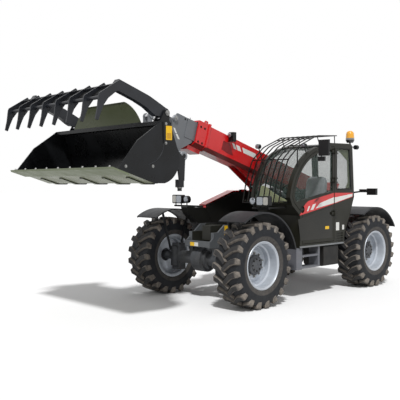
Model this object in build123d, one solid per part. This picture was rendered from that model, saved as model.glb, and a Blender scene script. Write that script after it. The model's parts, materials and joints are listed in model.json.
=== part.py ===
from build123d import *
import os
from math import asin, atan2, cos, degrees, hypot, radians, sin, sqrt

os.makedirs("parts", exist_ok=True)

# Telehandler with a grapple bucket. Design axes: X forward from the front axle, Y to the
# machine's left, Z up from the ground, millimetres. At the end everything is moved so that
# the origin is the middle of the underside of the whole machine.

# ---------------------------------------------------------------- wheels and axles
WHEELBASE = 2857.0
TRACK = 1830.0
TYRE_R = 595.0
TYRE_W = 440.0
TREAD_R = 552.0         # between the lugs
LUG_COUNT = 20          # in each of the two rows
LUG_W = 68.0
LUG_END = 190.0         # from the tyre's middle to a lug's outer end
LUG_NOSE = 14.0         # past the middle
LUG_ROOT = 12.0
BEAD_R = 305.0          # 24 inch rim, bead seat
FLANGE_R = 333.0
RIM_W = 400.0           # over the flanges
RIM_T = 14.0
FLANGE_T = 12.0
DISC_OUT = 5.0          # disc, outboard of the wheel's middle
DISC_T = 16.0
WELL_R = 280.0          # rim between the bead seats
WELL_IN = -95.0
WELL_OUT = 60.0
HUB_R = 138.0
HUB_IN = -30.0          # hub ends, from the wheel's middle, outboard positive
HUB_OUT = 78.0
STUB_R = 60.0
STUB_REACH = 50.0       # stub end, outboard of the wheel's middle
PIN_GAP = 0.3           # radial running gap of the large pins
FACE_GAP = 3.0          # end gap where a part turns on a shaft
KINGPIN_IN = 250.0      # kingpin line, inboard of the wheel's middle
KNUCKLE_R = 80.0
KNUCKLE_H = 300.0
KINGPIN_R = 30.0
YOKE_T = 42.0
YOKE_GAP = 8.0
YOKE_HALF = 60.0
AXLE_R = 95.0
DIFF_R = 185.0
DIFF_Y = -50.0
STEER_DEG = 30.0

# fenders, one on each knuckle
FENDER_R = 715.0
FENDER_T = 16.0
FENDER_IN = 655.0       # inner edge from the machine's middle
FENDER_OUT = 1128.0
STAY_T = 24.0
STAY_FOOT = 90.0        # stays' feet and tops, from the axle line
STAY_TOP = 250.0

# ---------------------------------------------------------------- chassis
RAIL_IN = 200.0
RAIL_W = 60.0
RAIL_LOW = 780.0
RAIL_H = 220.0
RAIL_FRONT = 100.0
RAIL_REAR = -3360.0
PLATE = 40.0
HORN_T = 40.0
HORN_R = 110.0
OUTRIGGER_H = 60.0
OUTRIGGER_REACH = 760.0
BODY_LOW = 760.0        # underside of cab and engine housing

# ---------------------------------------------------------------- boom
BOOM_DEG = 16.2
PIVOT_X = -3050.0
PIVOT_Z = 1500.0
PIVOT_R = 42.0
BOOM_HALF_W = 170.0
BOOM_TOP = 120.0        # above the pivot line
BOOM_BOTTOM = -236.0
BOOM_WALL = 12.0
BOOM_LOW_HALF = 100.0   # half width of the underside, between the chamfers
BOOM_CHAMFER = 45.0
BOOM_LEN = 3300.0
COLLAR_LEN = 230.0
COLLAR_UP = 12.0
INNER_GAP = 12.0
INNER_WALL = 10.0
PAD_LEN = 110.0
PAD_HALF = 90.0
INNER_START = 420.0
INNER_END = 3720.0
EXTEND_MM = 2200.0
HEAD_HALF = 140.0
HEAD_T = 25.0
TILT_X = 700.0          # carriage pivot pin
TILT_Z = 2090.0
TILT_PIN_R = 35.0
TILT_BOSS_R = 75.0

# cylinders: base pin and rod pin
LIFT_BASE = (-2750.0, 850.0)
LIFT_EYE = (-1100.0, 1669.0)
LIFT_TUBE_R = 70.0
LIFT_ROD_R = 45.0
LIFT_EYE_R = 55.0
LIFT_EYE_HALF = 50.0
LIFT_PIN_R = 32.0
LIFT_TUBE_END = 1480.0
LIFT_ROD_LEN = 1520.0
CRAM_BASE = (380.0, 2460.0)     # crowd cylinder inside the head
CRAM_EYE = (1100.0, 2620.0)
CRAM_TUBE_R = 42.0
CRAM_ROD_R = 24.0
CRAM_EYE_R = 38.0
CRAM_EYE_HALF = 40.0
CRAM_TUBE_END = 560.0
CRAM_ROD_LEN = 580.0
GRAB_BASE = (1545.0, 2090.0)
GRAB_EYE = (1660.0, 2490.0)
GRAB_TUBE_R = 32.0
GRAB_ROD_R = 18.0
GRAB_EYE_R = 28.0
GRAB_EYE_HALF = 17.0
GRAB_TUBE_END = 320.0
GRAB_ROD_LEN = 325.0
EYE_GAP = 8.0           # each side of a rod's eye between its cheeks
NECK = 16.0             # from a tube's eye to the tube, and to its bore
CHEEK_T = 25.0
BORE_GAP = 0.3          # between rod and tube
SEAT_GAP = 0.3          # between pieces that are seated on each other

# ---------------------------------------------------------------- carriage, bucket, grapple
CARRIAGE_HALF = 360.0
CARRIAGE_T = 30.0
HOOK_X = 1230.0
HOOK_Z = 2400.0
HOOK_R = 30.0
LOCK_Z = 1770.0
LOCK_R = 20.0
BUCKET_HALF = 1140.0
BUCKET_PLATE = 16.0
BUCKET_SIDE = 18.0
EDGE_T = 20.0
STRIP_COUNT = 5         # wear strips under the bucket
STRIP_PITCH = 470.0
STRIP_W = 60.0
GRAB_X = 1610.0         # grapple pivot
GRAB_Z = 2550.0
GRAB_PIN_R = 20.0
ARM_OUT = 950.0
ARM_W = 80.0
TINE_T = 18.0
TINE_PITCH = 290.0
TINE_COUNT = 8

# ---------------------------------------------------------------- cab and bodywork
CAB_IN = 270.0
CAB_OUT = 1020.0
CAB_WALL = 45.0
WINDOW_LIP = 25.0
GLASS_T = 6.0
GLASS_IN = 14.0         # panes lie this far inside the outer face
DOOR_GAP = 8.0
DOOR_INSET = 55.0
DOOR_REAR = -1800.0
DOOR_LOW = 805.0
DOOR_FRAME = 42.0
SLOT_COUNT = 4
SLOT_LOW = 806.0
SLOT_PITCH = 38.0
SLOT_H = 20.0
HOUSING_IN = -300.0
HOUSING_OUT = -1060.0
HOUSING_T = 20.0
HOUSING_TOP = 1200.0
CONSOLE_FRONT = 110.0
CONSOLE_TOP = 1345.0
CONSOLE_LOW = 1110.0
CONSOLE_OUT = -440.0
HOOD_T = 15.0
HOOD_GAP = 6.0
GUARD_BAR = 14.0
GUARD_COUNT = 8
GUARD_IN = 290.0
GUARD_OUT = 975.0

WHEEL_Y = TRACK / 2
KING_Y = WHEEL_Y - KINGPIN_IN
BOOM_U = (cos(radians(BOOM_DEG)), sin(radians(BOOM_DEG)))


# ---------------------------------------------------------------- helpers
def block(x0, x1, y0, y1, z0, z1):
    """Box between two corners."""
    size = (abs(x1 - x0), abs(y1 - y0), abs(z1 - z0))
    return Pos((x0 + x1) / 2, (y0 + y1) / 2, (z0 + z1) / 2) * Box(*size)


def side_plane(y):
    """Plane seen from the machine's right: local x is X, local y is Z."""
    return Plane(origin=(0, y, 0), x_dir=(1, 0, 0), z_dir=(0, -1, 0))


def slab(face, y0, y1):
    """Side-view face (X, Z drawn in XY) made solid from y0 to y1."""
    low, high = min(y0, y1), max(y0, y1)
    return extrude(side_plane(high) * face, amount=high - low, dir=(0, -1, 0))


def polar(r, deg):
    return (r * cos(radians(deg)), r * sin(radians(deg)))


def cross_plate(points, x0, x1):
    """Face drawn in Y and Z, made solid from x0 to x1."""
    face = Plane(origin=(x0, 0, 0), x_dir=(0, 1, 0), z_dir=(1, 0, 0)) * make_face(Polyline(*points, close=True).edges())
    return extrude(face, amount=x1 - x0, dir=(1, 0, 0))


def outline(points):
    return make_face(Polyline(*points, close=True).edges())


def inset(face, depth):
    return offset(face, amount=-depth, kind=Kind.INTERSECTION)


def plate(points, y0, y1):
    return slab(outline(points), y0, y1)


def disc(x, z, r, y0, y1):
    """Round pin, boss or hole across the machine."""
    return Pos(x, (y0 + y1) / 2, z) * Rot(90, 0, 0) * Cylinder(r, abs(y1 - y0))


def bar(p, q, r):
    """Round bar between two points."""
    a, b = Vector(*p), Vector(*q)
    return extrude(Plane(origin=a, z_dir=b - a) * Circle(r), amount=(b - a).length)


def both_sides(shape):
    """The shape and its mirror image across the machine's middle."""
    return shape + mirror(shape, about=Plane.XZ)


def on_boom(s, h):
    """Point at s along the boom from its pivot, h above the pivot line."""
    return (PIVOT_X + s * BOOM_U[0] - h * BOOM_U[1], PIVOT_Z + s * BOOM_U[1] + h * BOOM_U[0])


def boom_box(s0, s1, h0, h1, half):
    return plate([on_boom(s0, h0), on_boom(s1, h0), on_boom(s1, h1), on_boom(s0, h1)], -half, half)


def boom_beam(s0, s1, grow):
    """Length of the boom's section: flat top and sides, chamfered below. It is moved out by grow."""
    waist = BOOM_BOTTOM + BOOM_CHAMFER
    half = [(0, BOOM_TOP), (BOOM_HALF_W, BOOM_TOP), (BOOM_HALF_W, waist), (BOOM_LOW_HALF, BOOM_BOTTOM)]
    section = outline(half[1:] + [(-y, h) for y, h in reversed(half[1:])])
    if grow:
        section = offset(section, amount=grow, kind=Kind.INTERSECTION)
    x, z = on_boom(s0, 0)
    frame = Plane(origin=(x, 0, z), x_dir=(0, 1, 0), z_dir=(BOOM_U[0], 0, BOOM_U[1]))
    return extrude(frame * section, amount=s1 - s0, dir=(BOOM_U[0], 0, BOOM_U[1]))


def aimed(base, eye):
    """Plane at a cylinder's base pin whose local x runs to the rod's eye, local z across."""
    return Plane(origin=(base[0], 0, base[1]), x_dir=(eye[0] - base[0], 0, eye[1] - base[1]), z_dir=(0, 1, 0))


def ram_tube(base, eye, tube_r, rod_r, eye_r, half, length):
    """Cylinder tube with its base eye, bored for the rod."""
    frame = aimed(base, eye)
    start = eye_r + NECK
    tube = frame * Pos((start + length) / 2, 0, 0) * Rot(0, 90, 0) * Cylinder(tube_r, length - start)
    lug = frame * Cylinder(eye_r, 2 * half) + frame * Pos(start / 2, 0, 0) * Box(start, 1.3 * eye_r, 2 * half)
    bore = frame * Pos((start + NECK + length) / 2, 0, 0) * Rot(0, 90, 0)
    bore = bore * Cylinder(rod_r + BORE_GAP, length - start - NECK + 0.02)
    return tube + lug - bore


def ram_rod(base, eye, rod_r, eye_r, half, length):
    """Rod with its eye, whose pin is flush with the eye's faces."""
    reach = hypot(eye[0] - base[0], eye[1] - base[1])
    frame = aimed(base, eye)
    rod = frame * Pos(reach - length / 2, 0, 0) * Rot(0, 90, 0) * Cylinder(rod_r, length)
    lug = frame * Pos(reach, 0, 0) * Cylinder(eye_r, 2 * half)
    return rod + lug


parts = {}

# ---------------------------------------------------------------- wheels
# side, front or rear: name, X of the axle, +1 left or -1 right
CORNERS = [
    ("front_left", 0.0, 1),
    ("front_right", 0.0, -1),
    ("rear_left", -WHEELBASE, 1),
    ("rear_right", -WHEELBASE, -1),
]
# fender ends on a front wheel, degrees from straight ahead, upwards; mirrored data for the rear
FENDER_ARC = {"front": (56.0, 166.0), "rear": (58.0, 148.0)}

wheel_section = Plane(origin=(0, 0, 0), x_dir=(0, 1, 0), z_dir=(1, 0, 0))


def ring(points):
    """Section (outboard distance, radius) turned about the wheel's axis."""
    return revolve(wheel_section * outline(points), axis=Axis.Y)


half_tyre = TYRE_W / 2
half_rim = RIM_W / 2
seat = half_rim - FLANGE_T


def flat_ring(section, count):
    """Section (outboard distance, distance from the axis) turned about the axis in flats."""
    faces = []
    for i in range(count):
        for start, end in zip(section, section[1:] + section[:1]):
            corners = []
            for (y, r), k in ((start, i), (start, i + 1), (end, i + 1), (end, i)):
                x, z = polar(r / cos(radians(180 / count)), 360 * k / count)
                corners.append((x, y, z))
            faces.append(Face(Wire.make_polygon(corners, close=True)))
    return Solid(Shell(faces))


# one lug seen from outside the tread: distance from the tyre's middle, distance along the tread
LUG_FACE = [(LUG_END, -LUG_W / 2), (LUG_END, LUG_W / 2), (0.55 * LUG_END, -8), (-LUG_NOSE, -104),
            (-LUG_NOSE, -160)]
lug_from = min(along for across, along in LUG_FACE)
lug_to = max(along for across, along in LUG_FACE)
lug_half = (lug_to - lug_from) / 2
# the tyre stands on the corners of four lugs, with the ground midway between their angles
lug_corner = degrees(asin(lug_half / TYRE_R))
foot_deg = 270 / LUG_COUNT - lug_corner
lug_top = sqrt((TYRE_R / cos(radians(foot_deg))) ** 2 - lug_half ** 2)
section = [(seat, BEAD_R + SEAT_GAP), (seat, FLANGE_R + 12), (half_tyre, BEAD_R + 130), (half_tyre - 20, TREAD_R - 6)]
section += [(-y, r) for y, r in reversed(section)]
tyre = flat_ring(section, LUG_COUNT)
lugs = []
for i in range(LUG_COUNT):
    for side in (-1, 1):
        deg = (i + side / 4) * 360 / LUG_COUNT + 270
        x, z = polar(1, deg)
        top = Plane(origin=(x * lug_top, 0, z * lug_top), x_dir=(-z, 0, x), z_dir=(x, 0, z))
        face = outline([(along - (lug_from + lug_to) / 2, -side * across) for across, along in LUG_FACE])
        lugs.append(extrude(top * face, amount=-(lug_top - TREAD_R + LUG_ROOT)))
tyre = Part() + [tyre] + lugs
rim = ring([
    (-half_rim, BEAD_R - RIM_T), (-half_rim, FLANGE_R), (-seat, FLANGE_R), (-seat, BEAD_R),
    (WELL_IN - 15, BEAD_R), (WELL_IN, WELL_R), (WELL_OUT, WELL_R), (WELL_OUT + 15, BEAD_R),
    (seat, BEAD_R), (seat, FLANGE_R), (half_rim, FLANGE_R), (half_rim, FLANGE_R - RIM_T), (seat - 10, BEAD_R - RIM_T),
    (WELL_OUT + 12, BEAD_R - RIM_T), (WELL_OUT - 3, WELL_R - RIM_T), (WELL_IN + 3, WELL_R - RIM_T),
    (WELL_IN - 12, BEAD_R - RIM_T),
])
rim += ring([
    (DISC_OUT, 0), (DISC_OUT, HUB_R + 60), (DISC_OUT - 30, WELL_R - RIM_T + 1),
    (DISC_OUT - 30 + DISC_T, WELL_R - RIM_T + 1), (DISC_OUT + DISC_T, HUB_R + 60), (DISC_OUT + DISC_T, 0),
])
rim += ring([
    (HUB_IN, 0), (HUB_IN, HUB_R), (HUB_OUT - 25, HUB_R), (HUB_OUT, HUB_R - 25), (HUB_OUT, 0),
])
rim -= ring([
    (HUB_IN - 1, 0), (HUB_IN - 1, STUB_R + PIN_GAP), (STUB_REACH + FACE_GAP, STUB_R + PIN_GAP), (STUB_REACH + FACE_GAP, 0),
])

knuckle = Pos(0, -KINGPIN_IN, 0) * Cylinder(KNUCKLE_R, KNUCKLE_H)
knuckle += Pos(0, -KINGPIN_IN, 0) * Cylinder(KINGPIN_R, KNUCKLE_H + 2 * (YOKE_GAP + YOKE_T))
knuckle += Pos(0, (STUB_REACH - KINGPIN_IN) / 2, 0) * Rot(90, 0, 0) * Cylinder(STUB_R, STUB_REACH + KINGPIN_IN)
stay_z = KNUCKLE_H / 2 - 55
arm_reach = STAY_FOOT + STAY_T + 10
knuckle += block(-arm_reach, arm_reach, -KINGPIN_IN, -KINGPIN_IN + STAY_T, stay_z - STAY_T / 2, stay_z + STAY_T / 2)


def fender(front_deg, rear_deg):
    """Curved guard over the tyre with two stays down to the knuckle."""
    mid = (front_deg + rear_deg) / 2
    inner = [polar(FENDER_R, a) for a in (front_deg, mid, rear_deg)]
    outer = [polar(FENDER_R + FENDER_T, a) for a in (rear_deg, mid, front_deg)]
    edge = [ThreePointArc(*inner), Line(inner[2], outer[0]), ThreePointArc(*outer), Line(outer[2], inner[0])]
    shell = slab(make_face(edge), FENDER_IN - WHEEL_Y, FENDER_OUT - WHEEL_Y)
    foot = stay_z + STAY_T / 2 + SEAT_GAP
    for side in (-1, 1):
        top_x = side * STAY_TOP
        top_z = sqrt(FENDER_R ** 2 - STAY_TOP ** 2) + FENDER_T / 2
        stay = [(side * STAY_FOOT, foot), (side * (STAY_FOOT + STAY_T), foot), (top_x + side * STAY_T, top_z - STAY_T),
                (top_x, top_z)]
        shell += plate(stay, -KINGPIN_IN, -KINGPIN_IN + STAY_T)
    return shell


for name, x, side in CORNERS:
    place = Pos(x, side * WHEEL_Y, TYRE_R)
    # the rim is the same all round; the tyre's lugs make it left-handed or right-handed
    turn = Rot(0, 0, 0) if side > 0 else Rot(0, 0, 180)
    parts[name + "_tyre"] = place * (tyre if side > 0 else mirror(tyre, about=Plane.XZ))
    parts[name + "_rim"] = place * turn * rim
    parts[name + "_knuckle"] = place * turn * knuckle
    front_deg, rear_deg = FENDER_ARC[name.split("_")[0]]
    guard = fender(front_deg, rear_deg)
    if side < 0:
        guard = mirror(guard, about=Plane.XZ)
    parts[name + "_fender"] = place * guard

# ---------------------------------------------------------------- axles
AXLE_END = KING_Y - KNUCKLE_R - 25
yoke_z = KNUCKLE_H / 2 + YOKE_GAP
axle = Rot(90, 0, 0) * Cylinder(AXLE_R, 2 * AXLE_END - 40)
axle += Pos(0, DIFF_Y, 0) * Rot(90, 0, 0) * Cylinder(DIFF_R, 190)
axle += Pos(0, DIFF_Y, 0) * Rot(90, 0, 0) * Cylinder(DIFF_R - 45, 300)
pad_top = RAIL_LOW - TYRE_R
axle += both_sides(block(-80, 80, RAIL_IN, RAIL_IN + RAIL_W, 0, pad_top))
yoke = block(-YOKE_HALF, YOKE_HALF, AXLE_END - 45, AXLE_END, -yoke_z - YOKE_T, yoke_z + YOKE_T)
for low in (yoke_z, -yoke_z - YOKE_T):
    yoke += block(-YOKE_HALF, YOKE_HALF, AXLE_END, KING_Y, low, low + YOKE_T)
    yoke += Pos(0, KING_Y, low + YOKE_T / 2) * Cylinder(YOKE_HALF, YOKE_T)
yoke -= Pos(0, KING_Y, 0) * Cylinder(KINGPIN_R + PIN_GAP, 2 * yoke_z + 2 * YOKE_T + 2)
axle += both_sides(yoke)
parts["front_axle"] = Pos(0, 0, TYRE_R) * axle
parts["rear_axle"] = Pos(-WHEELBASE, 0, TYRE_R) * axle

# ---------------------------------------------------------------- chassis
rail_top = RAIL_LOW + RAIL_H
rail_out = RAIL_IN + RAIL_W
chassis = both_sides(block(RAIL_REAR, RAIL_FRONT, RAIL_IN, rail_out, RAIL_LOW, rail_top))
# sloping cheeks over the front axle, the beam and the plate between them, valve chest
cheek = plate([(185, RAIL_LOW), (185, 860), (-120, 1105), (-240, 1105), (-330, RAIL_LOW)], rail_out - 25, rail_out)
chassis += both_sides(cheek)
chassis += block(RAIL_FRONT, 185, -rail_out, rail_out, 790, 870)
chassis += block(-235, -215, -rail_out + 5, rail_out - 5, RAIL_LOW + 20, 1100)
chassis += block(-216, 20, -60, 110, 880, 1090)
# cross members: X from, X to, Z from, Z to
for x0, x1, z0, z1 in [(-430, -360, 790, 870), (-1500, -1420, 785, 830), (RAIL_REAR, RAIL_REAR + 60, 790, 990)]:
    chassis += block(x0, x1, -RAIL_IN, RAIL_IN, z0, z1)
base_x, base_z = LIFT_BASE
# the lift cylinder's base pin runs from rail to rail, with a boss each side of the eye
base_in = LIFT_EYE_HALF + 10 + EYE_GAP
chassis += disc(base_x, base_z, LIFT_PIN_R, -rail_out - 12, rail_out + 12)
chassis += both_sides(disc(base_x, base_z, LIFT_PIN_R + 15, base_in, rail_out))
horn = plate([(PIVOT_X - 290, rail_top), (PIVOT_X + 350, rail_top), (PIVOT_X + 105, PIVOT_Z + 30),
              (PIVOT_X - 105, PIVOT_Z + 30)], RAIL_IN, RAIL_IN + HORN_T)
horn += disc(PIVOT_X, PIVOT_Z, HORN_R, RAIL_IN, RAIL_IN + HORN_T)
chassis += both_sides(horn)
chassis += disc(PIVOT_X, PIVOT_Z, PIVOT_R, -RAIL_IN - HORN_T - 20, RAIL_IN + HORN_T + 20)
# outriggers under the cab and the engine housing: X of each
for x in (-1080, -2010):
    beam = block(x - 30, x + 30, RAIL_IN, OUTRIGGER_REACH, BODY_LOW - OUTRIGGER_H, BODY_LOW - SEAT_GAP)
    beam += block(x - 30, x + 30, RAIL_IN, rail_out, BODY_LOW - 10, RAIL_LOW + 10)
    chassis += both_sides(beam)
parts["chassis"] = chassis

# counterweight with the tow jaw; its sides narrow forwards to clear the steered rear wheels
WEIGHT_BACK = RAIL_REAR - 220
WEIGHT_LOW = 700.0
WEIGHT_TOP = 1180.0
HITCH_PIN_R = 16.0
HITCH_Z = 790.0
plan = make_face(Polyline(
    (RAIL_REAR - SEAT_GAP, -270), (RAIL_REAR - 140, -470), (WEIGHT_BACK, -470), (WEIGHT_BACK, 470), (RAIL_REAR - 140, 470),
    (RAIL_REAR - SEAT_GAP, 270), close=True))
weight = Pos(0, 0, WEIGHT_LOW) * extrude(plan, amount=WEIGHT_TOP - WEIGHT_LOW, dir=(0, 0, 1))
weight = fillet(weight.edges().filter_by(Axis.Z).group_by(Axis.X)[0], 60)
weight += block(WEIGHT_BACK - 100, WEIGHT_BACK, -70, 70, HITCH_Z - 70, HITCH_Z + 70)
weight -= block(WEIGHT_BACK - 101, WEIGHT_BACK - 25, -71, 71, HITCH_Z - 28, HITCH_Z + 28)
weight -= Pos(WEIGHT_BACK - 60, 0, HITCH_Z) * Cylinder(HITCH_PIN_R, 200)
parts["counterweight"] = weight

# ---------------------------------------------------------------- boom
outer = boom_beam(120, BOOM_LEN, 0)
# raised knee and boss at the pivot
outer += plate([on_boom(-105, BOOM_TOP + 126), on_boom(60, BOOM_TOP + 110), on_boom(420, BOOM_TOP - 2),
                on_boom(420, BOOM_BOTTOM + 2), on_boom(150, BOOM_BOTTOM), on_boom(-60, -60), on_boom(-34, 98)],
               -BOOM_HALF_W, BOOM_HALF_W)
outer += disc(PIVOT_X, PIVOT_Z, 100, -RAIL_IN + 2, RAIL_IN - 2)
# collar with a lip under it and two lifting lugs on it
COLLAR_END = BOOM_LEN + COLLAR_LEN
outer += boom_beam(BOOM_LEN, COLLAR_END, COLLAR_UP)
outer += boom_beam(BOOM_LEN, BOOM_LEN + 35, COLLAR_UP + 14)
outer += boom_box(BOOM_LEN + 35, COLLAR_END + 60, BOOM_BOTTOM - 75, BOOM_BOTTOM - COLLAR_UP + 2, BOOM_LOW_HALF)
lug_s = BOOM_LEN + 60
lug = plate([on_boom(lug_s - 45, BOOM_TOP), on_boom(lug_s + 45, BOOM_TOP), on_boom(lug_s + 25, BOOM_TOP + 62),
             on_boom(lug_s - 25, BOOM_TOP + 62)], BOOM_HALF_W - 42, BOOM_HALF_W - 22)
lug -= disc(*on_boom(lug_s, BOOM_TOP + 38), 13, BOOM_HALF_W - 43, BOOM_HALF_W - 21)
outer += both_sides(lug)
cavity = (BOOM_BOTTOM + BOOM_WALL, BOOM_TOP - BOOM_WALL)
outer -= boom_beam(INNER_START - 10, COLLAR_END + 1, -BOOM_WALL)
outer -= disc(PIVOT_X, PIVOT_Z, PIVOT_R + PIN_GAP, -RAIL_IN, RAIL_IN)
eye_s = (LIFT_EYE[0] - PIVOT_X) * BOOM_U[0] + (LIFT_EYE[1] - PIVOT_Z) * BOOM_U[1]
LIFT_EYE_H = -(LIFT_EYE[0] - PIVOT_X) * BOOM_U[1] + (LIFT_EYE[1] - PIVOT_Z) * BOOM_U[0]
cheek_in = LIFT_EYE_HALF + EYE_GAP
cheek = plate([on_boom(eye_s - 220, BOOM_BOTTOM + 2), on_boom(eye_s + 640, BOOM_BOTTOM + 2),
               on_boom(eye_s + 60, LIFT_EYE_H - 36), on_boom(eye_s, LIFT_EYE_H)], cheek_in, cheek_in + CHEEK_T)
cheek += disc(LIFT_EYE[0], LIFT_EYE[1], 70, cheek_in, cheek_in + CHEEK_T)
cheek += disc(LIFT_EYE[0], LIFT_EYE[1], 40, cheek_in, cheek_in + CHEEK_T + 20)
outer += both_sides(cheek)
inner_low = cavity[0] + INNER_GAP
inner_high = cavity[1] - INNER_GAP
inner_half = BOOM_HALF_W - BOOM_WALL - INNER_GAP
# wear pads in the collar, and below on the inner boom's tail
pad_s = BOOM_LEN + 60
for h0, h1 in ((cavity[0] - 2, inner_low - SEAT_GAP), (inner_high + SEAT_GAP, cavity[1] + 2)):
    outer += boom_box(pad_s, pad_s + PAD_LEN, h0, h1, PAD_HALF)
side_pad = slab(outline([on_boom(pad_s, -PAD_HALF), on_boom(pad_s + PAD_LEN, -PAD_HALF),
                         on_boom(pad_s + PAD_LEN, 0), on_boom(pad_s, 0)]),
                inner_half + SEAT_GAP, BOOM_HALF_W - BOOM_WALL + 2)
outer += both_sides(side_pad)
parts["boom_outer"] = outer

inner = boom_beam(INNER_START, INNER_END, -BOOM_WALL - INNER_GAP)
inner -= boom_beam(INNER_START - 1, INNER_END + 1, -BOOM_WALL - INNER_GAP - INNER_WALL)
# the floor is open under the tilt cylinder
inner -= boom_box(INNER_END - 100, INNER_END + 1, inner_low - 1, inner_low + INNER_WALL + 1, CRAM_TUBE_R + 12)
for h0, h1 in ((cavity[0] + SEAT_GAP, inner_low + 2), (inner_high - 2, cavity[1] - SEAT_GAP)):
    inner += boom_box(INNER_START, INNER_START + PAD_LEN, h0, h1, PAD_HALF)
# head: two cheek plates whose lower nose carries the carriage pivot
head_start = BOOM_LEN + COLLAR_LEN + 12
head_side = plate([on_boom(head_start, inner_high), (684, 2686), (785, 2600), (800, 2350), (TILT_X + 72, TILT_Z + 20),
                   (TILT_X - 68, TILT_Z - 20), (TILT_X - 60, TILT_Z + 100), on_boom(head_start + 15, inner_low)],
                  HEAD_HALF - HEAD_T, HEAD_HALF)
head_side += disc(TILT_X, TILT_Z, TILT_BOSS_R, HEAD_HALF - HEAD_T, HEAD_HALF)
inner += both_sides(head_side)
inner += disc(TILT_X, TILT_Z, 60, -HEAD_HALF, HEAD_HALF)
inner += disc(TILT_X, TILT_Z, TILT_PIN_R, -HEAD_HALF - 50, HEAD_HALF + 50)
inner += disc(CRAM_BASE[0], CRAM_BASE[1], 22, -HEAD_HALF, HEAD_HALF)
parts["boom_inner"] = inner

# ---------------------------------------------------------------- cylinders
lift_args = (LIFT_BASE, LIFT_EYE)
barrel = ram_tube(*lift_args, LIFT_TUBE_R, LIFT_ROD_R, LIFT_EYE_R, LIFT_EYE_HALF + 10, LIFT_TUBE_END)
barrel -= disc(base_x, base_z, LIFT_PIN_R + PIN_GAP, -100, 100)
parts["lift_cylinder_tube"] = barrel
parts["lift_cylinder_rod"] = ram_rod(*lift_args, LIFT_ROD_R, LIFT_EYE_R, LIFT_EYE_HALF, LIFT_ROD_LEN)
cram_args = (CRAM_BASE, CRAM_EYE)
barrel = ram_tube(*cram_args, CRAM_TUBE_R, CRAM_ROD_R, CRAM_EYE_R, CRAM_EYE_HALF, CRAM_TUBE_END)
barrel -= disc(CRAM_BASE[0], CRAM_BASE[1], 22 + PIN_GAP, -100, 100)
parts["tilt_cylinder_tube"] = barrel
parts["tilt_cylinder_rod"] = ram_rod(*cram_args, CRAM_ROD_R, CRAM_EYE_R, CRAM_EYE_HALF - 10, CRAM_ROD_LEN)
grab_y = ARM_OUT - ARM_W / 2
grab_args = (GRAB_BASE, GRAB_EYE)
barrel = ram_tube(*grab_args, GRAB_TUBE_R, GRAB_ROD_R, GRAB_EYE_R, GRAB_EYE_HALF, GRAB_TUBE_END)
barrel -= disc(GRAB_BASE[0], GRAB_BASE[1], 14 + PIN_GAP, -100, 100)
rod = ram_rod(*grab_args, GRAB_ROD_R, GRAB_EYE_R, GRAB_EYE_HALF, GRAB_ROD_LEN)
parts["grapple_cylinder_tubes"] = Pos(0, grab_y, 0) * barrel + Pos(0, -grab_y, 0) * barrel
parts["grapple_cylinder_rods"] = Pos(0, grab_y, 0) * rod + Pos(0, -grab_y, 0) * rod

# ---------------------------------------------------------------- carriage
side = plate([(750, 2035), (765, 1745), (845, 1745), (870, 1900), (1040, 1790), (HOOK_X + 30, LOCK_Z - 45),
              (HOOK_X + 35, HOOK_Z + 35), (HOOK_X - 40, HOOK_Z + 45), (980, 2250)],
             CARRIAGE_HALF - CARRIAGE_T, CARRIAGE_HALF)
carriage = both_sides(side)
# hose coupler under the left leg
coupler = block(775, 865, CARRIAGE_HALF - 75, CARRIAGE_HALF, 1660, 1765)
coupler += Pos(820, CARRIAGE_HALF - 38, 1640) * Cylinder(30, 60)
carriage += coupler
web_x = HOOK_X - 110
carriage += block(web_x, web_x + 25, -CARRIAGE_HALF, CARRIAGE_HALF, LOCK_Z - 50, HOOK_Z + 40)
ear_in = HEAD_HALF + 8
ear = plate([(TILT_X, TILT_Z + 78), (web_x, 2350), (web_x, 1850), (TILT_X, TILT_Z - 78)], ear_in, ear_in + CHEEK_T)
ear += disc(TILT_X, TILT_Z, 78, ear_in, ear_in + CHEEK_T)
ear -= disc(TILT_X, TILT_Z, TILT_PIN_R + PIN_GAP, ear_in - 1, ear_in + CHEEK_T + 1)
carriage += both_sides(ear)
horn_in = CRAM_EYE_HALF - 10 + EYE_GAP
link = plate([(CRAM_EYE[0] - 30, CRAM_EYE[1] - 30), (web_x, 2300), (web_x + 25, 2300), (CRAM_EYE[0] + 45, CRAM_EYE[1])],
             horn_in, horn_in + 20)
link += disc(CRAM_EYE[0], CRAM_EYE[1], 48, horn_in, horn_in + 20)
link += disc(CRAM_EYE[0], CRAM_EYE[1], 26, horn_in, horn_in + 32)
carriage += both_sides(link)
carriage += disc(HOOK_X, HOOK_Z, HOOK_R, -CARRIAGE_HALF, CARRIAGE_HALF)
carriage += disc(HOOK_X, LOCK_Z, LOCK_R, -CARRIAGE_HALF, CARRIAGE_HALF)
parts["carriage"] = carriage

# ---------------------------------------------------------------- bucket
LIP_BACK = (1716.0, 2435.0)
LIP_FRONT = (1832.0, 2435.0)
BACK_LOW = (1600.0, 2140.0)
BELLY = (1592.0, 1870.0)
FLOOR_BACK = (1795.0, 1712.0)
FLOOR_MID = (1950.0, 1712.0)
EDGE = (2460.0, 1868.0)
NOSE = (2187.0, 2191.0)
CHEEK_TOP = (1909.0, 2379.0)
shell_face = make_face([
    Line(LIP_FRONT, LIP_BACK), Line(LIP_BACK, BACK_LOW), ThreePointArc(BACK_LOW, BELLY, FLOOR_BACK),
    Line(FLOOR_BACK, FLOOR_MID), Line(FLOOR_MID, EDGE), Line(EDGE, NOSE), Line(NOSE, CHEEK_TOP),
    Line(CHEEK_TOP, LIP_FRONT),
])
hollow = offset(shell_face, amount=-BUCKET_PLATE)
floor_slope = (EDGE[1] - FLOOR_MID[1]) / (EDGE[0] - FLOOR_MID[0])
floor_lift = BUCKET_PLATE * hypot(1, floor_slope)
LIP_DEPTH = 46.0
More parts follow.
